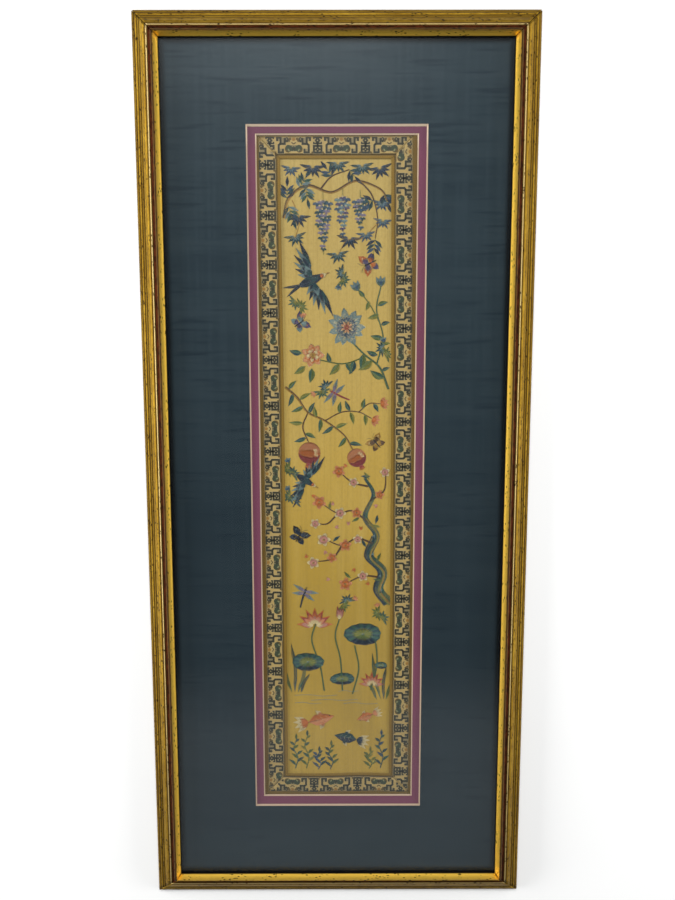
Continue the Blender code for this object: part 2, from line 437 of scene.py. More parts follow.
@dataclass
class GiltFrame:
    """The four mitred rails of ribbed moulding, in worn gold leaf over dark red bole.

    The dents' waves are in radians a metre: along the rail and their drift, across it and their slant.
    """

    width: float = 0.366
    height: float = 0.855
    gap: float = 0.0003
    side_height: float = 0.0040
    rail_width: float = 0.0245
    step_along: float = 0.0035
    dent_depth: float = 0.00006
    dent_waves: tuple[float, float, float, float] = (310.0, 47.0, 900.0, 85.0)
    dent_fade: float = 0.25
    map_start: float = 2.0
    face: tuple[Stretch, ...] = (
        Stretch(0.0006, 0.0049, 0.0, 2, Face.DULL),
        Stretch(0.0020, 0.0060, 0.00015, 4, Face.DULL),
        Stretch(0.0027, 0.0059, 0.0, 2, Face.LINE),
        Stretch(0.0047, 0.0081, 0.00055, 8, Face.LEAF),
        Stretch(0.0055, 0.0080, 0.0, 2, Face.LINE),
        Stretch(0.0070, 0.0098, 0.00045, 7, Face.DULL),
        Stretch(0.0077, 0.0097, 0.0, 2, Face.LINE),
        Stretch(0.0093, 0.0121, 0.0005, 5, Face.LEAF),
        Stretch(0.0118, 0.0146, 0.0004, 5, Face.LEAF),
        Stretch(0.0129, 0.0152, 0.0002, 3, Face.DULL),
        Stretch(0.0134, 0.0150, 0.0, 2, Face.LINE),
        Stretch(0.0136, 0.0163, 0.0, 2, Face.LINE),
        # the fillet, its leaf painted pale as a highlight
        Stretch(0.0150, 0.0171, 0.0001, 4, Face.FILLET),
        Stretch(0.0155, 0.0168, 0.0, 2, Face.LINE),
        Stretch(0.0180, 0.0181, -0.0003, 5, Face.BOLE),
        # a line along the middle of the bole's hollow: leaf rubbed through, and partly a painted highlight
        Stretch(0.0187, 0.0189, 0.0, 2, Face.RUBBED_GLINT),
        Stretch(0.0200, 0.0216, -0.0003, 5, Face.SOOT),
        Stretch(0.0204, 0.0222, 0.0, 2, Face.LINE),
        Stretch(0.0210, 0.0221, 0.0001, 2, Face.LEAF),
        # the inner slope, its leaf painted bright yellow as a highlight
        Stretch(0.0245, 0.0158, -0.0003, 9, Face.BRIGHT),
        # the rebate lip's inner face, painted near black as shadow
        Stretch(0.0245, 0.0128, 0.0, 3, Face.RAW),
        Stretch(0.0190, 0.0128, 0.0, 2, Face.WOOD),
        Stretch(0.0190, 0.0, 0.0, 2, Face.WOOD),
        Stretch(0.0, 0.0, 0.0, 2, Face.WOOD),
    )

    def section(self) -> tuple[Array, Array]:
        """Work out the moulding's section and the finish at each of its points.

        Each stretch runs straight to its end, and its middle stands off that line by a half sine.

        Returns:
            Distances in from the outer side and up from the back, and the finish's three numbers.
        """
        points, tints = [np.array([[0.0, self.side_height]])], [np.array([Face.DULL.value])]
        here = np.array([0.0, self.side_height])
        for part in self.face:
            there = np.array([part.inward, part.up])
            share = np.linspace(0.0, 1.0, part.steps + 1)[1:, None]
            along = there - here
            off = np.array([-along[1], along[0]]) / np.linalg.norm(along)
            points.append(here + along * share + off * (part.swell * np.sin(math.pi * share)))
            tints.append(np.repeat([part.face.value], part.steps, axis=0))
            here = there
        return np.concatenate(points), np.concatenate(tints)

    def build(self) -> None:
        """Make the four rails."""
        finish = self.gilding()
        half_width, half_height = self.width / 2, self.height / 2
        self.rail("left", self.height, (-half_width, 0.0), 0.0, finish)
        self.rail("bottom", self.width, (0.0, -half_height), math.pi / 2, finish)
        self.rail("right", self.height, (half_width, 0.0), math.pi, finish)
        self.rail("top", self.width, (0.0, half_height), -math.pi / 2, finish)

    def rail(self, side: str, length: float, place: Place, turn: float, finish: Material) -> None:
        """Carry the section along one rail, between its mitres.

        A point at a distance in from the outer side runs from one end to the other of a length that is
        shorter by twice that distance. Small dents, a sum of sines along and across, lower the face.

        Args:
            side: the rail's side of the frame.
            length: its outer length.
            place: the middle of its outer side.
            turn: the angle that turns its outer side there from the left.
            finish: its material.
        """
        section, tints = self.section()
        rows, columns = int(length / self.step_along), len(section)
        share = np.linspace(-1.0, 1.0, rows)[:, None]
        inward, up = section[:, 0][None, :], section[:, 1][None, :]
        along = share * (length / 2 - inward - self.gap)
        shown = (up > self.side_height) & (inward < self.rail_width)
        wave, drift, cross_wave, slant = self.dent_waves
        dents = np.sin(along * wave + 3 * np.sin(along * drift + turn))
        dents = dents * np.sin(inward * cross_wave + along * slant + turn)
        up = up - self.dent_depth * shown * (1 + dents) * np.cos(share * math.pi / 2) ** self.dent_fade
        spun = Matrix.Rotation(turn, 2)
        x = spun[0][0] * inward + spun[0][1] * along + place[0]
        y = spun[1][0] * inward + spun[1][1] * along + place[1]
        points = np.stack([x, y, up + 0 * along], -1)
        ends = np.arange(columns)[None, :]
        faces = [grid_quads(rows, columns, wrap=True), ends, ends[:, ::-1] + (rows - 1) * columns]
        piece = make_piece(f"gilt_rail_{side}", points, faces, [finish])
        face_up(piece)
        steps = np.linalg.norm(np.diff(section, axis=0, append=section[:1]), axis=1)
        across = np.concatenate([[0.0], np.cumsum(steps)[:-1]])
        add_surface_map(piece, "moulding", np.broadcast_to(across, along.shape),
                        along + self.map_start + turn)
        add_tint(piece, "gilding", np.broadcast_to(tints, (rows, columns, 3)))
        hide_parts(f"rail_{side}")

    def gilding(self) -> Material:
        """Make worn gold leaf: warm metal, dark lines, red bole, specks, cracks and rubbed patches, with
        painted highlight on the fillet, the inner slope and a line along the bole's hollow, and a painted
        shadow on the rebate lip.
        """
        dye = Dye("worn_gold_leaf", Specular_IOR_Level=0.15)
        bole, line, bright = dye.parts(dye.attribute("gilding"))
        wood = (line * bright).between(0.5, 0.9)
        cloudy = dye.noise(dye.surface("moulding", (300.0, 150.0, 1.0)), 1.0, 4.0, 0.65)
        patch = dye.noise(dye.surface("moulding", (60.0, 18.0, 1.0)), 1.0, 3.0)
        grit = dye.noise(dye.surface("moulding", (700.0, 420.0, 1.0)), 1.0, 2.0)
        nicks = dye.cells(dye.surface("moulding", (480.0, 230.0, 1.0)), 1.0).between(0.36, 0.18)
        cracks = dye.cells(dye.surface("moulding", (45.0, 380.0, 1.0)), 1.0).between(0.17, 0.08)
        scarce = dye.noise(dye.surface("moulding", (150.0, 55.0, 1.0)), 1.0, 2.0)
        marks = (nicks * scarce.between(0.46, 0.53)).maths("MAXIMUM", cracks * scarce.between(0.54, 0.60))
        marks = marks.maths("MAXIMUM", grit.between(0.62, 0.72) * (0.20 + line * 0.6))
        leaf = dye.ramp(cloudy * 0.55 + patch * 0.45, [
            (0.30, (0.115, 0.058, 0.003)), (0.48, (0.225, 0.127, 0.009)), (0.66, (0.360, 0.220, 0.020)),
        ])
        # Painted highlight: the fillet's leaf is made pale and the inner slope's a bright yellow, far lighter
        # than the leaf elsewhere, to show the light they catch.
        painted_highlight_leaf = dye.mix(bright.between(0.7, 0.9), (0.54, 0.42, 0.20), (0.95, 0.610, 0.085))
        lined = dye.mix(line * (0.40 + cloudy), dye.mix(bright * 0.90, leaf, painted_highlight_leaf), (0.040, 0.018, 0.004))
        red = dye.mix(cloudy.between(0.35, 0.65), (0.018, 0.004, 0.001), (0.085, 0.018, 0.005))
        marked = dye.mix(marks * 0.94, dye.mix(bole, lined, red), (0.014, 0.006, 0.002))
        # Painted shadow: where bole and line are both full, on the rebate lip's inner face, the colour goes
        # near black; the soot stretch in the hollow gets a share of the same dark.
        soot_and_lip_shadow = dye.mix(bole * line, marked, (0.008, 0.006, 0.004))
        dye.feed("Base Color", dye.mix(wood, soot_and_lip_shadow, (0.30, 0.20, 0.11)))
        dye.feed("Metallic", (0.86 - line * 0.1) * (1 - wood))
        dye.feed("Roughness", 0.36 + cloudy * 0.22 + line * 0.20 + bole * 0.15)
        dye.bump(cloudy * 0.5 - marks, 0.00012, 0.6)
        return dye.material


def face_up(piece: Piece) -> None:
    """Turn a closed piece's faces outwards."""
    body = bmesh.new()
    body.from_mesh(piece.data)
    bmesh.ops.recalc_face_normals(body, faces=body.faces)
    body.to_mesh(piece.data)
    body.free()


@dataclass(frozen=True)
class Window:
    """A mat's opening: its half width, top and bottom at the face, and the bevel's width, also on top."""

    half_width: float
    top: float
    bottom: float
    bevel: float
    top_bevel: float


@dataclass
class Mats:
    """The silk-covered outer mat and the plum inner mat, each with a cream bevel.

    The painted shadow along the edges is counted from the sight size inwards. Each pair of heights bounds a
    change of tone: the silk darkens towards the bottom, and the plum card's painted shade and the cream
    core's painted light lie along the top.
    """

    outer_window: Window = Window(0.0823, 0.3287, -0.3321, 0.0012, 0.0020)
    inner_window: Window = Window(0.0741, 0.3207, -0.3226, 0.0011, 0.0014)
    edge: float = 0.00012
    sight: Vector = Vector((0.1585, 0.4030))
    shade_start: float = 0.0016
    shade_reach: float = 0.0070
    silk_fade: Span = (0.25, -0.15)
    plum_shade: Span = (0.300, 0.318)
    lit_core: Span = (0.305, 0.318)

    def build(self) -> None:
        """Make both mats."""
        cream = self.cream_core()
        silk = self.slate_silk()
        self.mat("outer_mat", "silk_covered_mat", self.outer_window, [silk, cream])
        self.mat("inner_mat", "plum_mat", self.inner_window, [self.plum_card(), cream])

    def mat(self, node: str, name: str, window: Window, materials: list[Material]) -> None:
        """Make one mat as rectangles joined in a ring: back, edge, face, a soft cut edge and the bevel.

        Args:
            node: the solid that it stands for.
            name: its own name.
            window: its opening.
            materials: the face's and the core's.
        """
        low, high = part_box(node)
        rows = [
            (high.x, low.y, high.y, low.z, 1),
            (high.x, low.y, high.y, high.z, 0),
            (window.half_width + self.edge, window.bottom - self.edge, window.top + self.edge, high.z, 0),
            (window.half_width, window.bottom, window.top, high.z - self.edge, 1),
            (window.half_width - window.bevel, window.bottom + window.bevel, window.top - window.top_bevel,
             low.z, 1),
        ]
        rings = np.array([[[-w, b, z], [w, b, z], [w, t, z], [-w, t, z]] for w, b, t, z, _ in rows])
        faces = grid_quads(len(rows) + 1, 4, wrap=True) % (4 * len(rows))
        chosen = np.repeat([part for *_, part in rows], 4)
        piece = make_piece(name, rings, [faces], materials, smooth=False, chosen=chosen)
        face_up(piece)
        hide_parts(node)

    def slate_silk(self) -> Material:
        """Make slubbed slate-blue silk: fine ribs, dark weft slubs, a cloudy tone that darkens towards the
        bottom, and painted shadow along the sight edges.
        """
        dye = Dye("slate_slub_silk", Roughness=0.75, Specular_IOR_Level=0.06)
        x, y, _ = dye.parts(dye.place())
        # Painted shadow: the silk goes near black close to the sight edge and lightens over the shade reach,
        # as the rail's lip shades it.
        aside = (self.sight.x - x.maths("ABSOLUTE")).maths("MINIMUM", self.sight.y - y.maths("ABSOLUTE"))
        shade = aside.between(self.shade_reach, self.shade_start)
        ribs = dye.grain(260.0, 5.0, 0.0)
        slubs = dye.grain(22.0, 260.0, 0.0)
        rare = dye.grain(17.0, 200.0, 1.0).between(0.59, 0.71)
        bands = dye.grain(3.0, 42.0, 2.0)
        cloud = dye.grain(6.0, 9.0, 3.0)
        base = dye.ramp(cloud * 0.4 + bands * 0.6, [
            (0.32, (0.0145, 0.0265, 0.0350)), (0.50, (0.0190, 0.0330, 0.0415)),
            (0.70, (0.0245, 0.0390, 0.0480)),
        ])
        thread = dye.mix(slubs.between(0.52, 0.72) * 0.28, base, (0.0100, 0.0195, 0.0280))
        thread = dye.mix(ribs.between(0.45, 0.65) * 0.20, thread, (0.0300, 0.0480, 0.0600))
        thread = dye.mix(rare * 0.55, thread, (0.0080, 0.0165, 0.0250))
        thread = dye.mix(y.between(*self.silk_fade) * 0.40, thread, (0.0070, 0.0135, 0.0185))
        dye.feed("Base Color", dye.mix(shade * 0.93, thread, (0.0012, 0.0014, 0.0015)))
        return dye.material

    def plum_card(self) -> Material:
        """Make plum mat card with a faint tooth, darker along its top as painted shade."""
        dye = Dye("plum_card", Roughness=0.8, Specular_IOR_Level=0.2)
        tooth = dye.noise(dye.place(), 1400.0, 3.0, 0.6)
        cloud = dye.noise(dye.place(), 14.0, 2.0)
        base = dye.mix(cloud, (0.150, 0.041, 0.075), (0.188, 0.054, 0.095))
        # Painted shade: the card darkens along its top strip.
        shade = dye.parts(dye.place())[1].between(*self.plum_shade)
        base = dye.mix(shade * 0.28, base, (0.070, 0.032, 0.055))
        dye.feed("Base Color", dye.mix(tooth * 0.30, base, (0.075, 0.024, 0.038)))
        dye.bump(tooth, 0.00004, 0.6)
        return dye.material

    def cream_core(self) -> Material:
        """Make the cut core of mat card, cream and slightly rosy with age, and paler along the top as painted
        light.
        """
        dye = Dye("cream_core", Roughness=0.85)
        grain = dye.noise(dye.place((900.0, 900.0, 3000.0)), 1.0, 3.0)
        core = dye.mix(grain, (0.38, 0.27, 0.18), (0.52, 0.39, 0.27))
        # Painted light: the core is made paler along the top.
        lit = dye.parts(dye.place())[1].between(*self.lit_core)
        dye.feed("Base Color", dye.mix(lit * 0.45, core, (0.82, 0.66, 0.47)))
        dye.bump(grain, 0.00004, 0.5)
        return dye.material


@dataclass
class Panel:
    """The embroidered panel's layout: its ribbon's outer edge, its bands, and how the old silk sits."""

    half_width: float = 0.0702
    top: float = 0.3184
    bottom: float = -0.3189
    lean: float = 0.00095
    bow: float = 0.00080
    ripple: float = 0.00045
    ripple_length: float = 0.0900
    gap: float = 0.0003

    @property
    def middle(self) -> float:
        """The height of the panel's middle."""
        return (self.top + self.bottom) / 2

    @property
    def half_height(self) -> float:
        """Half the panel's height."""
        return (self.top - self.bottom) / 2

    def settle(self, x: Array, y: Array) -> tuple[Array, Array]:
        """Move points of the straight panel to where the mounted silk has them.

        The panel leans along its height, bows sideways as a cosine of it, and its lower end ripples as a
        sine of the distance across.
        """
        height = (y - self.middle) / (self.top - self.middle)
        sideways = -self.lean * height + self.bow * (np.cos(math.pi * height / 2) - 0.5)
        ripple = self.ripple * (1 - height) / 2 * np.sin(2 * math.pi * x / self.ripple_length)
        return x + sideways, y + ripple

    def band_point(self, side: str, share: Array, depth: Array) -> tuple[Array, Array]:
        """Give points of a border strip, from shares along it (-1 to 1) and depths in from its edge."""
        first = -1.0 if side in ("left", "bottom") else 1.0
        if side in ("left", "right"):
            x = first * (self.half_width - depth) + 0 * share
            return x, self.middle + share * (self.half_height - depth - self.gap)
        y = self.middle + first * (self.half_height - depth) + 0 * share
        return share * (self.half_width - depth - self.gap), y


@dataclass
class SilkGround:
    """The straw-gold silk that carries the embroidery, with its faint creases and waves.

    Waves are in radians a metre, along and across. The fine one counts for a share of the slow one.
    """

    panel: Panel
    margin: float = 0.0060
    step: float = 0.0020
    wave: float = 0.00012
    fine_wave: Span = (190.0, 60.0)
    fine_share: float = 0.5
    slow_wave: Span = (71.0, 25.0)

    def build(self, carried: Sequence[Piece]) -> None:
        """Args:
            carried: the pieces that are sewn to it; not used.
        """
        panel = self.panel
        low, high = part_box("silk_ground")
        size = (2 * (panel.half_width + self.margin), panel.top - panel.bottom + 2 * self.margin)
        columns, rows = (int(side / self.step) for side in size)
        x = np.linspace(-panel.half_width - self.margin, panel.half_width + self.margin, columns)[None, :]
        y = np.linspace(panel.bottom - self.margin, panel.top + self.margin, rows)[:, None]
        sx, sy = panel.settle(x + 0 * y, y + 0 * x)
        wave = np.sin(sy * self.fine_wave[0] + 2 * np.sin(sx * self.fine_wave[1])) * self.fine_share
        wave = wave + np.sin(sy * self.slow_wave[0] + sx * self.slow_wave[1])
        z = high.z - self.wave * (1 + self.fine_share + wave) / 2
        points, faces = slab(np.stack([sx, sy, z], -1), high.z - low.z - 2 * self.wave)
        piece = make_piece("embroidered_silk", points, faces, [self.straw_silk()])
        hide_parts("silk_ground")

    def straw_silk(self) -> Material:
        """Make old straw-gold silk: a tone that changes with the height, ribs, creases and mottling."""
        dye = Dye("straw_silk", Roughness=0.55, Sheen_Weight=0.06, Sheen_Roughness=0.35,
                  Specular_IOR_Level=0.25)
        _, height, _ = dye.parts(dye.place())
        fade = height.between(-0.34, 0.34)
        cloud = dye.grain(16.0, 9.0, 4.0, 0.6)
        base = dye.ramp(fade * 0.8 + cloud * 0.3, [
            (0.05, (0.398, 0.270, 0.057)), (0.17, (0.391, 0.255, 0.038)), (0.25, (0.312, 0.206, 0.038)),
            (0.40, (0.358, 0.231, 0.032)), (0.56, (0.420, 0.279, 0.052)), (0.76, (0.424, 0.297, 0.077)),
            (1.00, (0.402, 0.293, 0.091)),
        ])
        ribs = dye.grain(1300.0, 110.0, 2.0)
        weft = dye.waves(dye.place(), 1500.0, "Y", 0.6)
        creases = dye.grain(9.0, 230.0, 2.0).between(0.58, 0.76)
        streaks = dye.grain(60.0, 6.0, 3.0)
        threads = dye.grain(380.0, 6.0, 1.0)
        mottle = dye.grain(520.0, 330.0, 1.0)
        tone = dye.mix(creases * 0.12, base, (0.215, 0.140, 0.026))
        tone = dye.mix(streaks.between(0.45, 0.8) * 0.3, tone, (0.480, 0.360, 0.115))
        tone = dye.mix(threads.between(0.45, 0.68) * 0.20, tone, (0.235, 0.155, 0.028))
        tone = dye.mix(ribs.between(0.4, 0.7) * 0.10, tone, (0.190, 0.120, 0.020))
        tone = dye.mix(mottle.between(0.42, 0.70) * 0.16, tone, (0.230, 0.155, 0.035))
        dye.feed("Base Color", tone)
        dye.feed("Roughness", 0.45 + cloud * 0.15)
        dye.bump(ribs * 0.5 + weft * 0.3, 0.00006, 0.6)
        return dye.material


class Weave(Enum):
    """The colours of the ribbon's figures, in linear light."""

    PALE = (0.360, 0.285, 0.135)
    SLATE = (0.030, 0.028, 0.016)
    SAGE = (0.035, 0.046, 0.025)
    OLIVE = (0.090, 0.060, 0.018)
    REED = (0.190, 0.190, 0.090)
    DRAB = (0.200, 0.160, 0.080)
    ORANGE = (0.240, 0.125, 0.026)


@dataclass(frozen=True)
class Pull:
    """How a ribbon band's repeat sits: its shift, and how its stretch grows with the distance along."""

    shift: float
    slope: float = 0.0
    bow: float = 0.0
    slack: float = 0.0

    def moved(self, along: Array, reach: float) -> Array:
        """Shift distances along the band, and add a cubic in each one's share of the reach."""
        share = along / reach
        return along + self.shift + self.slope * share + self.bow * share ** 2 + self.slack * share ** 3


@dataclass(frozen=True)
class Stroke:
    """A figured stroke of the ribbon's repeat, as places (along, across) in millimetres."""

    weave: Weave
    places: tuple[Place, ...]
    width: float = 2.05


@dataclass(frozen=True)
class Spot:
    """A round or scalloped figure of the ribbon's repeat, in millimetres."""

    weave: Weave
    along: float
    across: float
    reach_along: float
    reach_across: float
    lobes: int = 0
    turn: float = 0.0


@dataclass
class Ribbon:
    """The figured ribbon in four mitred bands, with its frets, bats and small blossoms.

    The repeat is charted for half its length, from the bat's middle to the knot's middle, and mirrored
    about both. Places run along the ribbon and across it from its outer edge. Figures are built in
    millimetres: their foot's lift, a tier's lift and their thickness too. A spot is a dome of rings, each
    with its share of the reach and of the thickness.
    """

    panel: Panel
    width: float = 0.0160
    repeat: float = 0.0434
    step: float = 0.0040
    columns: int = 9
    sunk: float = 0.0001
    ripple: float = 0.00006
    ripple_wave: float = 200.0
    arch: float = 0.00015
    mirror_play: float = 0.00005
    mitre_gap: float = 0.00035
    edge_gap: float = 0.0003
    bed: float = 0.00008
    foot_lift: float = 0.03
    tier_lift: float = 0.05
    thickness: float = 0.07
    stroke_step: float = 1.3
    stroke_bevel: float = 0.18
    spot_tier: float = 0.12
    lobe_depth: float = 0.16
    lobed_rim: int = 20
    plain_rim: int = 14
    dome: tuple[Place, ...] = ((1.0, 0.0), (0.86, 0.8), (0.4, 1.0), (0.02, 1.0))
    halo: float = 0.45
    pull_reach: float = 0.2600
    pulls: tuple[Pull, ...] = (Pull(0.0070, 0.0009, -0.0015, 0.0041), Pull(-0.0027),
                               Pull(-0.0078, 0.00017, 0.0003, 0.00533), Pull(0.0054))
    strokes: tuple[Stroke, ...] = (
        Stroke(Weave.SLATE, ((14.9, 4.2), (14.9, 1.4), (11.8, 1.4), (11.8, 6.6), (8.1, 6.6), (8.1, 1.4))),
        Stroke(Weave.SLATE, ((12.0, 6.4), (13.6, 7.7), (13.6, 14.2), (9.8, 14.2), (9.8, 10.8))),
        Stroke(Weave.DRAB, ((9.95, 1.0), (9.95, 5.5)), 1.6),
        Stroke(Weave.DRAB, ((19.9, 9.8), (19.9, 13.0)), 0.9),
        Stroke(Weave.SAGE, ((3.6, 10.3), (0.0, 10.6)), 5.0),
        Stroke(Weave.OLIVE, ((2.0, 5.3), (0.0, 6.8)), 1.1),
        Stroke(Weave.OLIVE, ((2.4, 1.6), (3.8, 2.6), (4.9, 4.7)), 2.4),
        Stroke(Weave.SLATE, ((21.7, 0.9), (18.3, 0.9), (18.3, 2.4)), 1.5),
        Stroke(Weave.SLATE, ((21.7, 6.3), (18.3, 6.3), (18.3, 4.8)), 1.5),
        Stroke(Weave.SLATE, ((21.7, 8.5), (18.3, 8.5), (18.3, 14.3), (21.7, 14.3))),
        Stroke(Weave.SLATE, ((21.7, 5.2), (21.7, 9.6))),
        Stroke(Weave.SLATE, ((18.3, 11.4), (20.0, 11.4)), 1.1),
    )
    spots: tuple[Spot, ...] = (
        Spot(Weave.OLIVE, 5.1, 11.2, 3.0, 3.1),
        Spot(Weave.SAGE, 4.7, 10.6, 3.0, 3.2),
        Spot(Weave.SLATE, 0.0, 10.9, 1.9, 1.4),
        Spot(Weave.DRAB, 1.1, 8.9, 0.9, 0.6),
        Spot(Weave.REED, 4.55, 12.1, 0.7, 1.6, turn=0.55),
        Spot(Weave.SLATE, 6.1, 3.0, 1.6, 2.4),
        Spot(Weave.DRAB, 6.3, 2.6, 0.7, 1.2),
        Spot(Weave.DRAB, 13.3, 3.0, 0.6, 1.3),
        Spot(Weave.DRAB, 11.7, 12.1, 0.7, 1.3),
        Spot(Weave.DRAB, 19.5, 3.6, 0.6, 1.0),
        Spot(Weave.ORANGE, 0.0, 2.6, 1.5, 1.4, lobes=5),
        Spot(Weave.OLIVE, 17.1, 14.2, 1.2, 0.9),
        Spot(Weave.SLATE, 21.7, 3.6, 2.5, 2.2, lobes=6),
        Spot(Weave.PALE, 21.7, 3.6, 0.8, 0.7),
        Spot(Weave.SLATE, 21.7, 11.4, 2.1, 1.9, lobes=4),
        Spot(Weave.PALE, 21.7, 11.4, 0.7, 0.6),
    )
    made: dict[Weave, list[tuple[Array, Array]]] = field(default_factory=dict)

    def build(self) -> list[Piece]:
        """Make the bands and their figures.

        Returns:
            The pieces, which the silk carries.
        """
        cloth = self.ribbon_cloth()
        bands = [self.band(side, cloth) for side in SIDES]
        for stroke in self.strokes:
            if stroke.weave is not Weave.PALE:
                self.stroke(stroke, Weave.PALE, self.halo, 0)
            self.stroke(stroke, stroke.weave, 0.0, 1)
        for number, spot in enumerate(self.spots):
            if spot.weave is Weave.SLATE:
                self.spot(spot, Weave.PALE, self.halo / 2, 0)
            self.spot(spot, spot.weave, 0.0, 1.0 + self.spot_tier * number)
        return bands + [self.figures(weave) for weave in Weave]

    def band(self, side: str, cloth: Material) -> Piece:
        low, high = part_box(f"ribbon_{side}")
        length = max(high.x - low.x, high.y - low.y)
        share = np.linspace(-1.0, 1.0, int(length / self.step))[:, None]
        depth = np.linspace(0.0, self.width, self.columns)[None, :]
        x, y = self.panel.band_point(side, share, depth + 0 * share)
        sx, sy = self.panel.settle(x, y)
        z = high.z - self.sunk + self.ripple * np.sin(share * length * self.ripple_wave)
        z = z - self.arch * (depth / self.width - 0.5) ** 2
        points, faces = slab(np.stack([sx, sy, z], -1), high.z - low.z - 2 * self.sunk)
        piece = make_piece(f"figured_ribbon_{side}", points, faces, [cloth])
        face_up(piece)
        across = np.stack([depth / self.width + 0 * share, 0 * sx, 0 * sx], -1).reshape(-1, 3)
        add_tint(piece, "across", np.concatenate([across, across]))
        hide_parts(f"ribbon_{side}")
        return piece

    def stroke(self, stroke: Stroke, weave: Weave, wider: float, tier: float) -> None:
        """Add a stroke: its line carried with a raised flat section, and mitred at its turns.

        At a turn, the offset runs along the sum of the two normals over one plus their dot product.
        """
        line = np.concatenate([self.stepped(*pair) for pair in zip(stroke.places, stroke.places[1:])]
                              + [np.array(stroke.places[-1:])])
        ahead = np.diff(line, axis=0)
        ahead /= np.linalg.norm(ahead, axis=1, keepdims=True)
        line[0] -= ahead[0] * wider / 2
        line[-1] += ahead[-1] * wider / 2
        normal = np.stack([-ahead[:, 1], ahead[:, 0]], -1)
        before, after = np.concatenate([normal[:1], normal]), np.concatenate([normal, normal[-1:]])
        offset = (before + after) / (1 + (before * after).sum(1, keepdims=True))
        half = (stroke.width + wider) / 2
        flank = half - self.stroke_bevel
        section = [(-half, 0.0), (-flank, 1.0), (flank, 1.0), (half, 0.0)]
        flat = np.stack([line + offset * across for across, _ in section], 1)
        up = np.broadcast_to(np.array([height for _, height in section]), flat.shape[:2])
        self.keep(weave, flat, up, tier, grid_quads(len(line), 4, wrap=True))

    def stepped(self, start: Place, end: Place) -> Array:
        """Give short even steps from a place up to the next one, which is left out."""
        count = max(1, round(math.dist(start, end) / self.stroke_step))
        return np.linspace(start, end, count, endpoint=False)

    def spot(self, spot: Spot, weave: Weave, wider: float, tier: float) -> None:
        """Add a spot: rings round its middle, whose reach grows and shrinks with its lobes."""
        count = self.lobed_rim if spot.lobes else self.plain_rim
        turns = np.linspace(0.0, 2 * math.pi, count, endpoint=False)
        reach = 1 + (self.lobe_depth if spot.lobes else 0.0) * np.cos(spot.lobes * turns)
        rim = np.stack([np.cos(turns) * (spot.reach_along + wider) * reach,
                        np.sin(turns) * (spot.reach_across + wider) * reach], -1)
        spun = np.array(Matrix.Rotation(spot.turn, 2))
        shares, heights = np.array(self.dome).T
        flat = (rim @ spun.T)[None] * shares[:, None, None] + np.array([spot.along, spot.across])
        up = np.broadcast_to(heights[:, None], flat.shape[:2])
        self.keep(weave, flat, up, tier, grid_quads(len(shares), len(turns), wrap=True))

    def keep(self, weave: Weave, flat: Array, up: Array, tier: float, quads: Array) -> None:
        """Keep a figure, in millimetres, and its mirror image unless it stands on a mirror line."""
        level = self.foot_lift + self.tier_lift * tier + up * self.thickness
        points = np.concatenate([flat, level[..., None]], -1).reshape(-1, 3) * MM
        self.made.setdefault(weave, []).append((points, quads))
        middle = flat[..., 0].mean() * MM
        if min(abs(middle), abs(middle - self.repeat / 2)) > self.mirror_play:
            self.made[weave].append((points * np.array([-1.0, 1.0, 1.0]), quads[:, ::-1]))

    def figures(self, weave: Weave) -> Piece:
        """Lay one colour's figures along all four bands, cut them at the mitres and settle them."""
        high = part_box("ribbon_left")[1].z
        unit = np.concatenate([points for points, _ in self.made[weave]])
        shifts = np.cumsum([0] + [len(points) for points, _ in self.made[weave]][:-1])
        faces = np.concatenate([quads + shift for (_, quads), shift in zip(self.made[weave], shifts)])
        all_points, all_faces, total = [], [], 0
        for side in SIDES:
            points, quads = self.along_band(side, unit, faces)
            sx, sy = self.panel.settle(points[:, 0], points[:, 1])
            all_points.append(np.stack([sx, sy, points[:, 2] + high - self.bed], -1))
            all_faces.append(quads + total)
            total += len(points)
        name = f"ribbon_figures_{weave.name.lower()}"
        finish = self.float_silk(weave)
        return make_piece(name, np.concatenate(all_points), [np.concatenate(all_faces)], [finish],
                          smooth=False)

    def along_band(self, side: str, unit: Array, faces: Array) -> tuple[Array, Array]:
        """Repeat the unit along one band and keep the faces that lie between its mitres."""
        upright = side in ("left", "right")
        panel = self.panel
        half = panel.half_height if upright else panel.half_width
        count = int(half / self.repeat) + 1
        centres = np.arange(-count, count + 1) * self.repeat
        along = (unit[None, :, 0] + centres[:, None]).ravel()
        along = self.pulls[SIDES.index(side)].moved(along, self.pull_reach)
        across = np.tile(unit[:, 1], len(centres))
        up = np.tile(unit[:, 2], len(centres))
        quads = tiled(faces, len(centres), len(unit))
        inside = (across > self.edge_gap) & (across < self.width - self.edge_gap)
        inside = inside & (np.abs(along) < half - across - self.mitre_gap)
        quads = quads[inside[quads].all(1)]
        used, renumbered = np.unique(quads, return_inverse=True)
        along, across, up = along[used], across[used], up[used]
        sign = -1.0 if side in ("left", "bottom") else 1.0
        if upright:
            x, y = sign * (panel.half_width - across), panel.middle + along
        else:
            x, y = along, panel.middle + sign * (panel.half_height - across)
        return np.stack([x, y, up], -1), renumbered.reshape(quads.shape)

    def ribbon_cloth(self) -> Material:
        """Make the ribbon's gold-cream ground: close weft ribs, warp lines, a dark inner selvedge that is
        partly painted shade from the braid, and painted shade along its outer edge.
        """
        dye = Dye("ribbon_ground", Roughness=0.6, Specular_IOR_Level=0.25)
        across = dye.parts(dye.attribute("across"))[0]
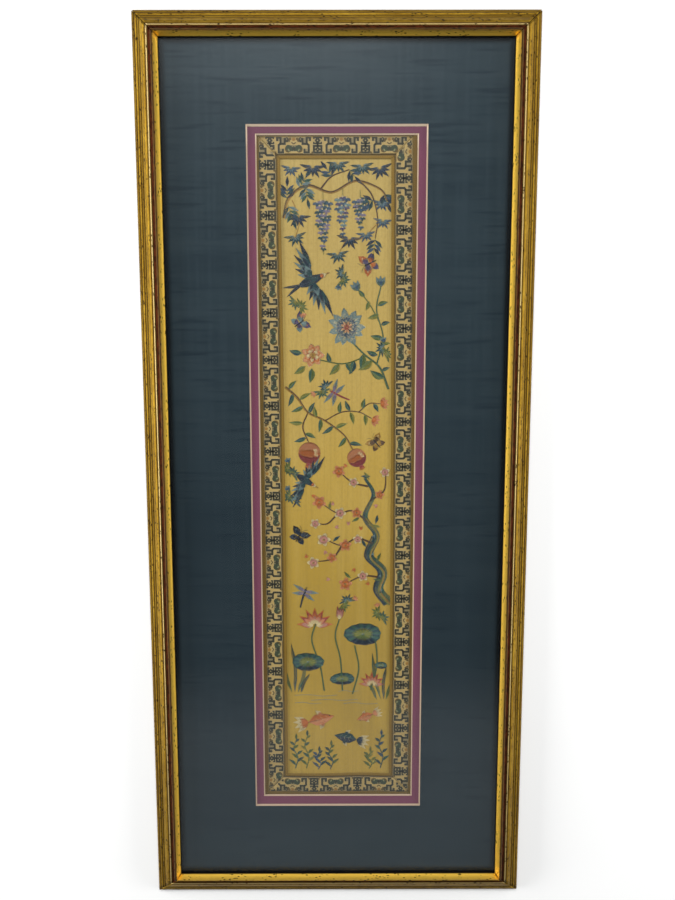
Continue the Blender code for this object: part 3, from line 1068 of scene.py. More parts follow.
        # Painted shade: the outer edge darkens as the outer braid and mat shade it; the dark inner selvedge
        # is partly painted shade from the inner braid.
        dark_selvedge_and_shade = across.between(0.92, 0.955).maths("MAXIMUM", across.between(0.13, 0.05) * 0.6)
        cross = dye.waves(dye.place(), 700.0, "X", 0.4) * dye.waves(dye.place(), 700.0, "Y", 0.4)
        cloud = dye.noise(dye.place(), 60.0, 3.0)
        base = dye.mix(cloud, (0.330, 0.228, 0.075), (0.410, 0.298, 0.112))
        woven = dye.mix(cross.between(0.2, 0.7) * 0.30, base, (0.26, 0.175, 0.055))
        dye.feed("Base Color", dye.mix(dark_selvedge_and_shade * 0.90, woven, (0.060, 0.038, 0.012)))
        dye.bump(cross, 0.00008, 0.8)
        return dye.material

    def float_silk(self, weave: Weave) -> Material:
        """Make the silk of one colour's figures."""
        dye = Dye(f"ribbon_{weave.name.lower()}", Roughness=0.55, Specular_IOR_Level=0.25)
        dye.feed("Base Color", weave.value)
        return dye.material


@dataclass
class Braids:
    """The plaited gold braids inside and outside the ribbon.

    A strip is given as its inset from the ribbon's outer edge, its width and the points across it.
    """

    panel: Panel
    inner: tuple[float, float, int] = (0.0163, 0.0033, 9)
    outer: tuple[float, float, int] = (-0.0048, 0.0045, 6)
    pitch: float = 0.0017
    steps_a_pitch: int = 5
    arrow_line: float = 0.6
    slant: float = 1.3
    relief: float = 0.00035
    body_relief: float = 2.5
    shaded: float = 0.55
    line_share: float = 0.3
    line_depth: float = 0.0001

    def build(self) -> list[Piece]:
        """Make the eight strips.

        Returns:
            The strips, which the silk carries.
        """
        plait = self.gold_plait()
        made = []
        for side in SIDES:
            made.append(self.strip(f"inner_braid_{side}", side, *self.inner, plait))
            made.append(self.strip(f"outer_braid_{side}", side, *self.outer, plait))
        return made

    def strip(self, node: str, side: str, inset: float, width: float, columns: int, plait: Material) -> Piece:
        """Make one strip whose face is a plait.

        The relief is the absolute sine of the distance along plus the distance from the middle line, so
        that its ridges meet in arrowheads, under a low arch across the strip.

        Args:
            node: the solid that it stands for.
            side: its side of the panel.
            inset: its outer edge's depth from the ribbon's outer edge.
            width: its width.
            columns: how many points lie across it.
            plait: its material.

        Returns:
            The strip.
        """
        low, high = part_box(node)
        length = max(high.x - low.x, high.y - low.y)
        rows = int(length / self.pitch * self.steps_a_pitch)
        share = np.linspace(-1.0, 1.0, rows)[:, None]
        depth = np.linspace(0.0, 1.0, columns)[None, :]
        x, y = self.panel.band_point(side, share, inset + width * depth + 0 * share)
        sx, sy = self.panel.settle(x, y)
        along = share * length / 2
        slant = np.abs(depth - self.arrow_line) * width * self.slant
        ridges = np.abs(np.sin(math.pi * (along + slant) / self.pitch))
        arch = 1 - np.abs(2 * depth - 1.1) ** 3
        # Painted shade: the outer strips are darkened all over, as the mat shades them; the inner strips get
        # a dark edge on the ribbon side, partly painted shade.
        edging_and_shade = self.shaded + 0 * depth if inset < 0 else self.shaded * (depth < self.line_share)
        z = high.z - self.relief * (1 - ridges * (0.4 + 0.6 * arch)) - self.line_depth * edging_and_shade
        points, faces = slab(np.stack([sx, sy, z], -1), high.z - low.z - self.body_relief * self.relief)
        piece = make_piece(f"plaited_{node}", points, faces, [plait])
        face_up(piece)
        shade = np.stack([edging_and_shade + 0 * share, ridges, 0 * ridges], -1)
        add_tint(piece, "plait", np.concatenate([shade.reshape(-1, 3), shade.reshape(-1, 3)]))
        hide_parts(node)
        return piece

    def gold_plait(self) -> Material:
        """Make dull gold thread, with painted shade between the strands, a dark edge along the inner strips'
        ribbon side that is partly painted shade, and painted shade over the whole of the outer strips.
        """
        dye = Dye("gold_plait", Roughness=0.55, Metallic=0.15, Specular_IOR_Level=0.2)
        edging_and_shade, ridge, _ = dye.parts(dye.attribute("plait"))
        cloud = dye.noise(dye.place(), 45.0, 3.0)
        strand = dye.mix(cloud, (0.190, 0.110, 0.011), (0.270, 0.166, 0.025))
        # Painted shade: darker between the strands.
        shaded = dye.mix((1 - ridge) * 0.5, strand, (0.090, 0.048, 0.008))
        dye.feed("Base Color", dye.mix(edging_and_shade * 0.85, shaded, (0.050, 0.030, 0.010)))
        return dye.material


@dataclass
class Needle:
    """Collects silk stitches by colour, and makes each colour's stitches into one mesh.

    A stitch is a row of eight numbers: start, control point and end in the plane, then width and lift.
    It bends as the quadratic curve of its three points. The shortest stitch, the overlap of couched ones
    and a knot's reach are in millimetres.
    """

    panel: Panel
    thread: float = 0.00040
    petal_spacing: float = 0.86
    leaf_spacing: float = 0.82
    blade_spacing: float = 0.80
    vein: float = 0.00032
    knot_thread: float = 0.00042
    tier: float = 0.00010
    sunk: float = 0.00012
    crest: float = 0.62
    drawn_in: float = 0.35
    stations: int = 5
    shortest: float = 0.25
    overlap: float = 0.12
    knot_reach: float = 0.32
    knot_turns: tuple[float, ...] = (0.3, 1.35, 2.4)
    stem_step: float = 0.36
    rng: np.random.Generator = field(default_factory=lambda: np.random.default_rng(11))
    rows: dict[Floss, list[Array]] = field(default_factory=dict)

    def lay(self, floss: Floss, start: Array, end: Array, bend: Array | float, tier: float,
            width: float | None = None) -> None:
        """Lay stitches of one colour.

        Args:
            floss: their colour.
            start: where they start, in millimetres.
            end: where they end.
            bend: how far their middles stand off to the left, as a share of their length.
            tier: how many layers of silk they lie on.
            width: the thread's width in metres, or None for the usual one.
        """
        start, end = np.atleast_2d(start).astype(float), np.atleast_2d(end).astype(float)
        run = end - start
        control = (start + end) / 2 + 2 * np.stack([-run[:, 1], run[:, 0]], -1) * np.reshape(bend, (-1, 1))
        span = np.linalg.norm(run, axis=1)
        keep = span > self.shortest
        wide = np.full(len(start), self.thread if width is None else width)
        wide = wide * self.rng.uniform(0.9, 1.12, len(start))
        lift = np.full(len(start), tier * self.tier)
        data = np.concatenate([start * MM, control * MM, end * MM, wide[:, None], lift[:, None]], 1)
        self.rows.setdefault(floss, []).append(data[keep])

    def build(self) -> list[Piece]:
        """Make one mesh for each colour.

        Returns:
            The meshes, which the silk carries.
        """
        return [self.mesh(floss, np.concatenate(rows)) for floss, rows in self.rows.items()]

    def mesh(self, floss: Floss, data: Array) -> Piece:
        """Carry a three-sided section along every stitch of one colour.

        The crest rises as the fourth root of a half sine along the stitch, cut short at both ends. The
        width follows it in part, and so draws in there, where the thread goes through the cloth.
        """
        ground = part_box("silk_ground")[1].z
        t = np.linspace(0.0, 1.0, self.stations)[None, :, None]
        start, control, end = (data[:, None, index:index + 2] for index in (0, 2, 4))
        line = (1 - t) ** 2 * start + 2 * t * (1 - t) * control + t ** 2 * end
        ahead = 2 * (1 - t) * (control - start) + 2 * t * (end - control)
        ahead /= np.maximum(np.linalg.norm(ahead, axis=2, keepdims=True), TINY)
        left = np.stack([-ahead[..., 1], ahead[..., 0]], -1)
        swell = np.sin(math.pi * np.clip(t, 0.04, 0.96)) ** 0.25
        width, lift = data[:, None, 6:7], data[:, None, 7:8]
        half = width / 2 * (self.drawn_in + (1 - self.drawn_in) * swell)
        base = ground - self.sunk + lift
        crest = base + self.sunk + width * self.crest * swell
        low = base + 0 * half
        rim_left = np.concatenate([line + left * half, low], -1)
        rim_right = np.concatenate([line - left * half, low], -1)
        top = np.concatenate([line, crest + 0 * half], -1)
        points = np.stack([rim_left, top, rim_right], 2)
        sx, sy = self.panel.settle(points[..., 0], points[..., 1])
        points = np.stack([sx, sy, points[..., 2]], -1)
        count, each = len(data), self.stations * 3
        quads = tiled(grid_quads(self.stations, 3, wrap=True), count, each)
        ends = tiled(np.array([[0, 1, 2], [each - 1, each - 2, each - 3]]), count, each)
        name = f"floss_{floss.name.lower()}"
        return make_piece(name, points, [quads, ends], [self.silk(floss)])

    def silk(self, floss: Floss) -> Material:
        """Make one colour of glossy floss."""
        dye = Dye(f"floss_{floss.name.lower()}", Roughness=0.40, Sheen_Weight=0.08, Sheen_Roughness=0.3,
                  Specular_IOR_Level=0.5)
        dye.feed("Base Color", floss.value)
        return dye.material

    def petal(self, bands: Sequence[Floss], base: Place, angle: float, length: float, width: float,
              tier: float, point: float, waist: float = 0.25) -> None:
        """Fill a petal with threads along it, in bands of colour from its tip to its foot.

        A thread keeps its share of the petal's width. The width grows from the waist at the foot as a
        power of a sine, and near the tip it keeps to at least a part. The tip falls away at the sides
        as a power of the share.

        Args:
            bands: its colours, from the tip to the foot.
            base: its foot, in millimetres.
            angle: the way it points, in degrees.
            length: its length.
            width: its greatest width.
            tier: how many layers of silk it lies on.
            point: how much the tip falls away at the sides, as a share of the length.
            waist: the foot's width as a share of the width.
        """
        count = max(3, int(width / (self.thread / MM * self.petal_spacing)))
        share = np.linspace(-1.0, 1.0, count) * (1 - 0.5 / count)
        tip = length * (1 - point * np.abs(share) ** 1.7)
        ahead, aside = axes(angle)

        def spot(reach: Array) -> Array:
            """Give the place on each thread at a reach along the petal."""
            spread = waist + (1 - waist) * np.sin(math.pi * np.clip(reach / length, 0, 1) ** 0.8) ** 0.8
            spread = np.maximum(spread, 0.35 * (reach > 0.75 * length))
            return np.array(base) + np.outer(reach, ahead) + np.outer(share * width / 2 * spread, aside)

        cuts = np.linspace(1.0, 0.0, len(bands) + 1)
        for index, floss in enumerate(bands):
            uneven = self.rng.uniform(-0.07, 0.07, (2, count))
            high = tip * (cuts[index] + (uneven[0] + 0.06 if index else 0.0))
            low = tip * (cuts[index + 1] + (uneven[1] if index + 1 < len(bands) else 0.0))
            start, end = spot(np.clip(high, 0, tip)), spot(np.maximum(low, 0))
            self.lay(floss, start, end, 0.0, tier + 0.25 * index)

    def fan(self, bands: Sequence[Floss], base: Place, angle: float, turns: Sequence[float], length: float,
            width: float, tier: float, point: float) -> None:
        """Fill a like petal for each turn away from an angle."""
        for turn in turns:
            self.petal(bands, base, angle + turn, length, width, tier, point)

    def leaf(self, flosses: Sequence[Floss], base: Place, angle: float, length: float, width: float,
             tier: float, bend: float = 0.0) -> None:
        """Fill a broad leaf with threads slanting from its midrib to its edge, a colour for each half.

        The midrib is an arc that stands off its chord by the bend. Half the width grows and falls along
        it as a sine of the share to the power 0.8.
        """
        count = max(5, int(length / (self.thread / MM * self.leaf_spacing)))
        share = np.linspace(0.03, 0.97, count)
        slanted = np.clip(share + 1.1 * width / length * 0.5, 0, 1)
        ahead, aside = axes(angle)

        def rib(part: Array) -> Array:
            """Give the midrib's place at each share."""
            off = 4 * bend * length * part * (1 - part)
            return np.array(base) + (part * length)[:, None] * ahead + off[:, None] * aside

        half = width / 2 * np.sin(math.pi * slanted ** 0.8)
        for sign, floss in zip((1.0, -1.0), (flosses[0], flosses[-1])):
            start = rib(share) + sign * 0.08 * aside
            self.lay(floss, start, rib(slanted) + sign * half[:, None] * aside, 0.0, tier)
        if len(flosses) > 2:
            vein = rib(np.linspace(0.0, 0.92, 4))
            self.cord(flosses[1], vein, self.vein, tier + 1.2)

    def blade(self, floss: Floss, base: Place, angle: float, length: float, width: float, bend: float,
              tier: float) -> None:
        """Fill a narrow leaf with threads along it, which meet at its tip and its foot."""
        count = max(3, int(width / (self.thread / MM * self.blade_spacing)))
        share = np.linspace(-1.0, 1.0, count)
        ahead, aside = axes(angle)
        back = np.abs(share) * length
        foot, tip = np.array(base), np.array(base) + length * ahead
        start = foot + np.outer(back * 0.16, ahead) + np.outer(share * width * 0.18, aside)
        end = tip - np.outer(back * 0.20, ahead) + np.outer(share * width * 0.16, aside)
        self.lay(floss, start, end, bend + share * width / length * 0.38, tier)

    def cord(self, floss: Floss, path: Array, width: float, tier: float) -> None:
        """Couch a thread along a path, as stitches end to end that overlap a little."""
        path = np.asarray(path, float)
        ahead, _ = headings(path)
        start, end = path[:-1] - ahead[:-1] * self.overlap, path[1:] + ahead[1:] * self.overlap
        self.lay(floss, start, end, 0.0, tier, width)

    def stem(self, flosses: Sequence[Floss], knots: Sequence[Place], thick: float, thin: float,
             tier: float = 0.0) -> Array:
        """Wrap a stem with short slanting stitches across its line, in one or two colours side by side.

        Returns:
            The stem's line, in millimetres.
        """
        path = curve_through(knots, self.stem_step)
        ahead, left = headings(path)
        half = np.linspace(thick, thin, len(path))[:, None] / 2
        slant = ahead * 0.5
        if len(flosses) == 1:
            self.lay(flosses[0], path - left * half - slant, path + left * half + slant, 0.0, tier)
            return path
        self.lay(flosses[0], path - left * 0.08 - slant * 0.5, path + left * half + slant, 0.0, tier)
        self.lay(flosses[1], path + left * 0.08 - slant * 0.5, path - left * half + slant, 0.0, tier)
        return path

    def knots(self, floss: Floss, middle: Place, reach: float, count: int, tier: float) -> None:
        """Work a cluster of seed knots, each three short crossed stitches, on a sunflower spiral."""
        index = np.arange(count)
        turn = index * GOLDEN_ANGLE
        out = reach * np.sqrt((index + 0.5) / count)
        centre = np.array(middle) + np.stack([out * np.cos(turn), out * np.sin(turn)], -1)
        for angle in self.knot_turns:
            off = np.array([math.cos(angle), math.sin(angle)]) * self.knot_reach
            self.lay(floss, centre - off, centre + off, 0.0, tier, self.knot_thread)


def polar(middle: Place, angle: float, reach: float) -> Place:
    """Give the place at an angle in degrees and a distance from a middle."""
    turn = math.radians(angle)
    return middle[0] + reach * math.cos(turn), middle[1] + reach * math.sin(turn)


@dataclass
class Garden:
    """A generic design of climbing flowers, fruit, moths, swallows and fish, worked with the needle.

    Places are in millimetres from the frame's middle. It runs from the hanging blossom at the top, past
    a large layered flower, fruit and a flowering tree, to the water lilies and fish at the foot.
    """

    needle: Needle

    def work(self) -> None:
        """Work every motif, from the top down."""
        self.hanging_blossom()
        self.layered_flowers()
        self.fruit_branch()
        self.flowering_tree()
        self.water_lilies()
        self.creatures()
        self.sprigs()

    def compound_leaf(self, base: Place, angle: float, length: float, pairs: int,
                      flosses: Sequence[Floss]) -> None:
        """Work a leaf of paired narrow leaflets along a thin stalk."""
        needle = self.needle
        tip = polar(base, angle, length)
        needle.cord(LEAF, curve_through([base, tip], 1.6), 0.00042, 0.2)
        for index in range(pairs):
            share = 0.14 + 0.78 * index / pairs
            place = polar(base, angle, length * share)
            size = 10.5 - 3.0 * share
            for sign in (1, -1):
                floss = flosses[(index + (sign > 0)) % len(flosses)]
                needle.blade(floss, place, angle + sign * (50 - 8 * share), size, 3.1, sign * 0.05, 0.6)
        needle.blade(flosses[0], tip, angle, 9.5, 3.2, 0.0, 0.6)

    def palmate_leaf(self, base: Place, angle: float, size: float, floss: Floss, tint: Floss) -> None:
        """Work a leaf of seven narrow leaflets that spread from its stalk, each lighter at its root."""
        needle = self.needle
        for index, turn in enumerate((-94, -60, -28, 4, 34, 64, 96)):
            length = size * (0.98 - 0.22 * (index % 2) + 0.02 * abs(index - 3))
            root = polar(base, angle + turn, size * 0.12)
            needle.blade(floss, root, angle + turn, length, size * 0.27, 0.04 * (3 - index), 0.5)
            needle.blade(tint, root, angle + turn, length * 0.5, size * 0.12, 0.0, 1.5)

    def raceme(self, top: Place, length: float, width: float, flosses: Sequence[Floss]) -> None:
        """Work a hanging cluster of small winged blossoms that thins to its tip."""
        needle = self.needle
        stalk = [(top[0], top[1] + 7), (top[0] + 0.8, top[1] - length / 2), (top[0], top[1] - length)]
        needle.cord(LEAF, curve_through(stalk, 1.8), 0.00042, 0.1)
        rows = int(length / 3.9)
        for row in range(rows):
            share = row / rows
            across = max(1, round((1 - share ** 1.4) * width / 3.6))
            for index in range(across):
                side = (index - (across - 1) / 2) * 3.7 + 0.7 * math.sin(2.3 * row)
                drop = 2.0 + row * 3.9 + abs(side) * 0.25 - 0.5 * math.sin(3 * row + index)
                place = (top[0] + side, top[1] - drop)
                size = 4.3 - 1.4 * share
                shade = flosses[(row + index) % len(flosses)]
                lean = 9 * math.sin(row + 2 * index)
                needle.fan([shade], place, lean, (200, 270, 340), size, size * 0.85, 0.4, 0.3)
                needle.petal([CREAM], place, 90, size * 0.45, size * 0.6, 0.8, 0.3)

    def hanging_blossom(self) -> None:
        """Work the climbing branch at the top, its blue leaves and its hanging clusters."""
        needle = self.needle
        needle.stem((BROWN, OCHRE), [(-48, 246), (-43, 264), (-26, 275), (-4, 269), (18, 279), (40, 272),
                                                 (47, 262)], 3.2, 1.6)
        needle.stem((BROWN,), [(-14, 272), (-4, 283), (12, 289)], 1.6, 0.9)
        needle.stem((BROWN,), [(22, 279), (33, 266), (38, 246), (36, 228)], 1.5, 0.8)
        blues = (NAVY, TEAL, BLUE)
        greens = (TEAL, SKY, JADE)
        for number, (base, angle, length, pairs) in enumerate((
            ((-45, 262), 88, 12, 3), ((-34, 272), 58, 12, 3), ((-3, 283), 128, 8, 2), ((12, 289), -48, 8, 2),
            ((-44, 258), -72, 14, 3), ((36, 228), -98, 14, 3), ((44, 268), -70, 9, 3),
            ((-28, 274), -80, 11, 3), ((35, 262), 200, 12, 3),
        )):
            self.compound_leaf(base, angle, length, pairs, greens if number % 3 == 1 else blues)
        needle.stem((OCHRE,), [(-40, 262), (-34, 244), (-38, 227)], 0.9, 0.6)
        needle.stem((OCHRE,), [(37, 240), (24, 228), (10, 226), (2, 214)], 0.9, 0.6)
        for number, (base, angle) in enumerate((
            ((-35, 248), 262), ((-38, 230), 282), ((27, 232), 275), ((12, 228), 262), ((1, 214), 276),
            ((42, 260), 262), ((-21, 292), 266), ((24, 293), 275), ((-41, 291), 262), ((40, 291), 282),
            ((2, 295), 270), ((43, 244), 264),
        )):
            shade = ((NAVY, BLUE), (TEAL, SKY), (BLUE, SKY))[number % 3]
            self.palmate_leaf(base, angle, 10.5 - 1.2 * (number % 3), *shade)
        lilacs = (BLUE, LILAC, TEAL)
        self.raceme((-12, 263), 50, 13, lilacs)
        self.raceme((6, 266), 37, 11, (SKY, PURPLE, BLUE))
        self.raceme((22, 264), 30, 10, lilacs)

    def layered_flower(self, middle: Place, reach: float, rings: Sequence[Sequence[Floss]],
                       petals: int, broad: float) -> None:
        """Work a large round flower: rings of two-tone petals, each smaller and higher than the last."""
        needle = self.needle
        for ring, bands in enumerate(rings):
            size = reach * (1 - 0.23 * ring)
            for index in range(petals - ring):
                angle = 360 * index / (petals - ring) + 23 * ring + 6 * math.sin(index * 2.1)
                foot = polar(middle, angle, size * 0.12)
                length = size * (0.86 + 0.05 * math.sin(3 * index))
                tier, wide = 1.9 * ring, size * broad
                needle.petal((CREAM,), foot, angle, length + 0.5, wide + 0.8, tier - 1.1, 0.20, 0.3)
                needle.petal(bands, foot, angle, length, wide, tier, 0.20, 0.3)
        needle.knots(OCHRE, middle, reach * 0.17, 12, 1.9 * len(rings))

    def veined_leaf(self, base: Place, angle: float, length: float, width: float,
                    flosses: Sequence[Floss], bend: float = 0.06) -> None:
        """Work a broad leaf of two greens with a pale midrib."""
        self.needle.leaf((flosses[0], MOSS, flosses[1]), base, angle, length, width, 0.3, bend)

    def layered_flowers(self) -> None:
        """Work the blue flower on its stem, its bud, its coral neighbour and their leaves."""
        needle = self.needle
        needle.stem((LEAF, JADE), [(48, 88), (40, 108), (26, 120), (14, 132)], 2.2, 1.4)
        needle.stem((LEAF, JADE), [(37, 111), (43, 136), (37, 162), (41, 184)], 1.5, 1.0)
        needle.stem((LEAF,), [(28, 119), (6, 112), (-18, 116)], 1.3, 1.0)
        needle.stem((LEAF,), [(40, 150), (30, 168), (20, 180)], 1.1, 0.8)
        blue_rings = ((SKY, TEAL), (SKY, BLUE, NAVY), (BLUE, NAVY),
                      (SALMON, ROSE))
        self.layered_flower((9, 146), 18.0, blue_rings, 11, 0.40)
        self.layered_flower((-23, 120), 11.0, ((SALMON, ORANGE), (ORANGE, ROSE),
                                               (CREAM, OCHRE)), 7, 0.60)
        for bud, lean in (((41, 184), 92), ((20, 180), 120)):
            needle.fan((SKY, BLUE), bud, lean, (-26, 0, 26), 9.5, 4.2, 0.8, 0.4)
            needle.fan((LEAF,), bud, lean, (-40, 40), 6.0, 2.6, 1.4, 0.5)
        greens = ((LEAF, JADE), (TEAL, JADE), (MOSS, LEAF))
        for number, (base, angle, length) in enumerate((
            ((44, 98), 150, 15), ((42, 105), 25, 8), ((33, 115), 215, 16), ((24, 121), 262, 15),
            ((38, 120), 160, 11), ((42, 130), 8, 8), ((43, 136), 170, 12), ((41, 148), 18, 9),
            ((39, 158), 200, 11), ((38, 166), 20, 10), ((16, 115), 250, 14), ((2, 112), 228, 14),
            ((8, 113), 300, 12), ((-6, 113), 108, 10), ((-30, 110), 215, 13), ((-24, 108), 262, 14),
            ((-33, 122), 168, 12), ((30, 170), 250, 9), ((26, 174), 130, 9),
        )):
            self.veined_leaf(base, angle, length, length * 0.42, greens[number % 3])

    def round_fruit(self, middle: Place, reach: float, angle: float) -> None:
        """Work a round fruit with a crown: threads across it, darker to one side, and a split of seeds."""
        needle = self.needle
        count = int(2 * reach / 0.34)
        side = np.linspace(-reach * 0.97, reach * 0.97, count)
        chord = np.sqrt(np.maximum(reach ** 2 - side ** 2, 0.0))
        ahead, aside = axes(angle)
        uneven = needle.rng.uniform(-0.10, 0.10, (2, count))
        rows = [np.array(middle) + np.outer(side, aside) + np.outer(reach_along, ahead)
                for reach_along in (chord, chord * (0.38 + uneven[0]), chord * (-0.30 + uneven[1]), -chord)]
        for index, floss in enumerate((ROSE, ORANGE, SALMON)):
            needle.lay(floss, rows[index], rows[index + 1], side / reach * 0.05, 0.4)
        seam = [polar(middle, angle + turn_off, reach * 0.62) for turn_off in (70, 100, 130)]
        needle.stem((CREAM,), seam, reach * 0.42, reach * 0.30, 1.0)
        needle.knots(ROSE, polar(middle, angle + 100, reach * 0.60), reach * 0.22, 7, 2.0)
        crown = polar(middle, angle, reach * 0.95)
        needle.fan((ORANGE, ROSE), crown, angle, (-36, -12, 12, 36), reach * 0.55, reach * 0.26,
                   0.8, 0.5)

    def fruit_branch(self) -> None:
        """Work the fruit branch that comes in from the left."""
        needle = self.needle
        needle.stem((BROWN, OCHRE), [(-49, 90), (-38, 80), (-28, 66), (-12, 58), (6, 44), (14, 30)], 2.6, 1.2)
        needle.stem((BROWN,), [(-28, 66), (-33, 52), (-28, 38)], 1.4, 1.0)
        needle.stem((BROWN,), [(-12, 58), (4, 66), (20, 66), (32, 60)], 1.3, 0.8)
        needle.stem((BROWN,), [(20, 66), (30, 74), (40, 74)], 1.0, 0.7)
        self.round_fruit((-27, 27), 10.5, 266)
        self.round_fruit((18, 22), 9.0, -62)
        for bud, lean in (((33, 59), -20), ((41, 74), 10)):
            needle.fan((SALMON, ORANGE), bud, lean, (-50, -17, 17, 50), 7.5, 3.8, 0.6, 0.3)
        greens = ((LEAF, JADE), (JADE, TEAL), (MOSS, LEAF))
        for number, (base, angle, length) in enumerate((
            ((-46, 88), 48, 11), ((-42, 84), 250, 13), ((-36, 78), 30, 13), ((-32, 72), 205, 13),
            ((-27, 65), 62, 12), ((-20, 61), 100, 11), ((-16, 60), 262, 13), ((-4, 53), 215, 13),
            ((-2, 51), 20, 12), ((2, 65), 85, 11), ((12, 67), 115, 11), ((-33, 56), 178, 13),
            ((-31, 46), 335, 11), ((-30, 42), 200, 12), ((12, 66), 285, 12), ((8, 42), 232, 12),
            ((11, 36), 350, 12), ((26, 64), 272, 11), ((24, 69), 80, 10), ((34, 74), 300, 9),
        )):
            self.veined_leaf(base, angle, length, 3.9, greens[number % 3], 0.05)

    def blossom(self, middle: Place, reach: float, flosses: Sequence[Floss], turn: float) -> None:
        """Work a small flower of five round petals with a seeded middle."""
        for index in range(5):
            angle = turn + 72 * index
            foot = polar(middle, angle, reach * 0.14)
            self.needle.petal(flosses, foot, angle, reach * 0.9, reach * 0.72, 0.9, 0.18)
        self.needle.knots(OCHRE, middle, reach * 0.2, 6, 2.0)
        self.needle.knots(BLACK, polar(middle, turn, reach * 0.1), reach * 0.1, 2, 2.8)

    def flowering_tree(self) -> None:
        """Work the gnarled tree on the right, with its mossy bark and its small flowers."""
        needle = self.needle
        trunk = [(49, -122), (39, -108), (43, -90), (30, -74), (37, -54), (26, -36), (34, -14), (26, 2)]
        needle.stem((TEAL, JADE), trunk, 11.0, 2.6)
        needle.stem((MOSS, OCHRE), [(x + 1.2, y - 1.5) for x, y in trunk[:6]], 3.2, 1.2, 1.4)
        needle.stem((NAVY,), [(x - 4.2, y - 1.0) for x, y in trunk[:5]], 1.6, 0.9, 1.0)
        for x, y in ((41, -98), (34, -76), (35, -58), (42, -112)):
            needle.petal((SKY, TEAL), (x - 1.5, y), 70, 5.2, 2.6, 2.0, 0.4)
        twigs = (
            [(33, -62), (18, -57), (4, -64), (-12, -58)], [(30, -42), (14, -30), (0, -32), (-16, -22)],
            [(31, -20), (44, -10), (46, 6)], [(29, -6), (14, -2), (2, 8)], [(41, -96), (24, -95), (8, -102)],
            [(4, -64), (-6, -77), (-22, -80)], [(0, -32), (-10, -42), (-20, -42)],
        )
        for twig in twigs:
            needle.stem((BROWN,), twig, 2.0, 0.8, 0.3)
        coral = (SALMON, ORANGE)
        pale = (CREAM, PINK)
        for number, (middle, reach) in enumerate((
            ((-14, -58), 6.6), ((7, -64), 6.0), ((-24, -81), 6.0), ((-18, -21), 6.6), ((2, -32), 5.8),
            ((18, -32), 5.2), ((45, 8), 5.0), ((1, 9), 6.0), ((15, -2), 5.0), ((7, -103), 6.6),
            ((24, -95), 5.4), ((-6, -76), 5.0), ((-22, -42), 5.0), ((40, -14), 4.6), ((19, -58), 4.8),
        )):
            self.blossom(middle, reach, coral if number % 2 else pale, 17 * number)
        buds = ((22, -49), (-4, -24), (9, 14), (38, -24), (16, -87), (-13, -69), (-25, -14), (-3, -46),
                (-32, -76), (10, -44), (30, -104), (-8, -98))
        for number, bud in enumerate(buds):
            shade = (PINK if number % 2 else ORANGE,)
            needle.fan(shade, bud, 90 + 40 * number, (-20, 20), 4.2, 2.2, 0.6, 0.4)
        leaves = ((38, -80), (27, -66), (41, -46), (21, -36), (38, -34), (25, 8), (34, -98), (-5, -60),
                  (-8, -29), (12, -97), (31, 4))
        for number, place in enumerate(leaves):
            needle.blade((LEAF, TEAL, MOSS)[number % 3], place, 70 + 47 * number, 9.0, 3.0, 0.05, 0.6)

    def lily_pad(self, middle: Place, reach: float, squash: float) -> None:
        """Work a round floating leaf: threads from its middle to a wavy rim, in wedges of colour."""
        needle = self.needle
        count = int(2 * math.pi * reach / 0.40)
        turn = np.linspace(0.0, 2 * math.pi, count, endpoint=False)
        rim = reach * (1 + 0.02 * np.sin(12 * turn) + 0.03 * np.sin(3 * turn + middle[0]))
        flat = np.stack([np.cos(turn), np.sin(turn) * squash], -1)
        shares = 0.52 + 0.08 * np.sin(turn * 31)
        wedge = np.where(np.sin(turn) < -0.7, 2, np.sin(12 * turn) > 0.3)
        for index, floss in enumerate((TEAL, JADE, NAVY)):
            chosen = wedge == index
            edge = np.array(middle) + flat[chosen] * rim[chosen, None]
            half_way = np.array(middle) + flat[chosen] * (rim * shares)[chosen, None]
            needle.lay(floss, edge, half_way, 0.0, 0.2)
            core = np.array(middle) + flat[chosen][::2] * 0.8
            needle.lay(LEAF if index else MOSS, half_way[::2], core, 0.0, 0.3)
        for vein in range(12):
            angle = math.radians(30 * vein)
            run = np.array([math.cos(angle), math.sin(angle) * squash]) * reach * 0.94
            needle.cord(SKY, np.array(middle) + np.outer((0.0, 0.5, 1.0), run), 0.00036, 1.0)

    def open_lily(self, middle: Place, reach: float) -> None:
        """Work an open water flower: pointed petals fanned in three rows over a seed head."""
        needle = self.needle
        for row, (spread, petals, size) in enumerate(((88, 7, 1.0), (60, 5, 0.86), (28, 3, 0.70))):
            bands = (ROSE, SALMON, CREAM) if row % 2 else (ORANGE, PINK, CREAM)
            for index in range(petals):
                angle = 90 + spread * (2 * index / (petals - 1) - 1)
                needle.petal(bands, polar(middle, angle, reach * 0.1), angle, reach * size, reach * 0.40,
                             0.9 * row, 0.62, 0.3)
        needle.knots(OCHRE, (middle[0], middle[1] + reach * 0.12), reach * 0.18, 8, 3.2)

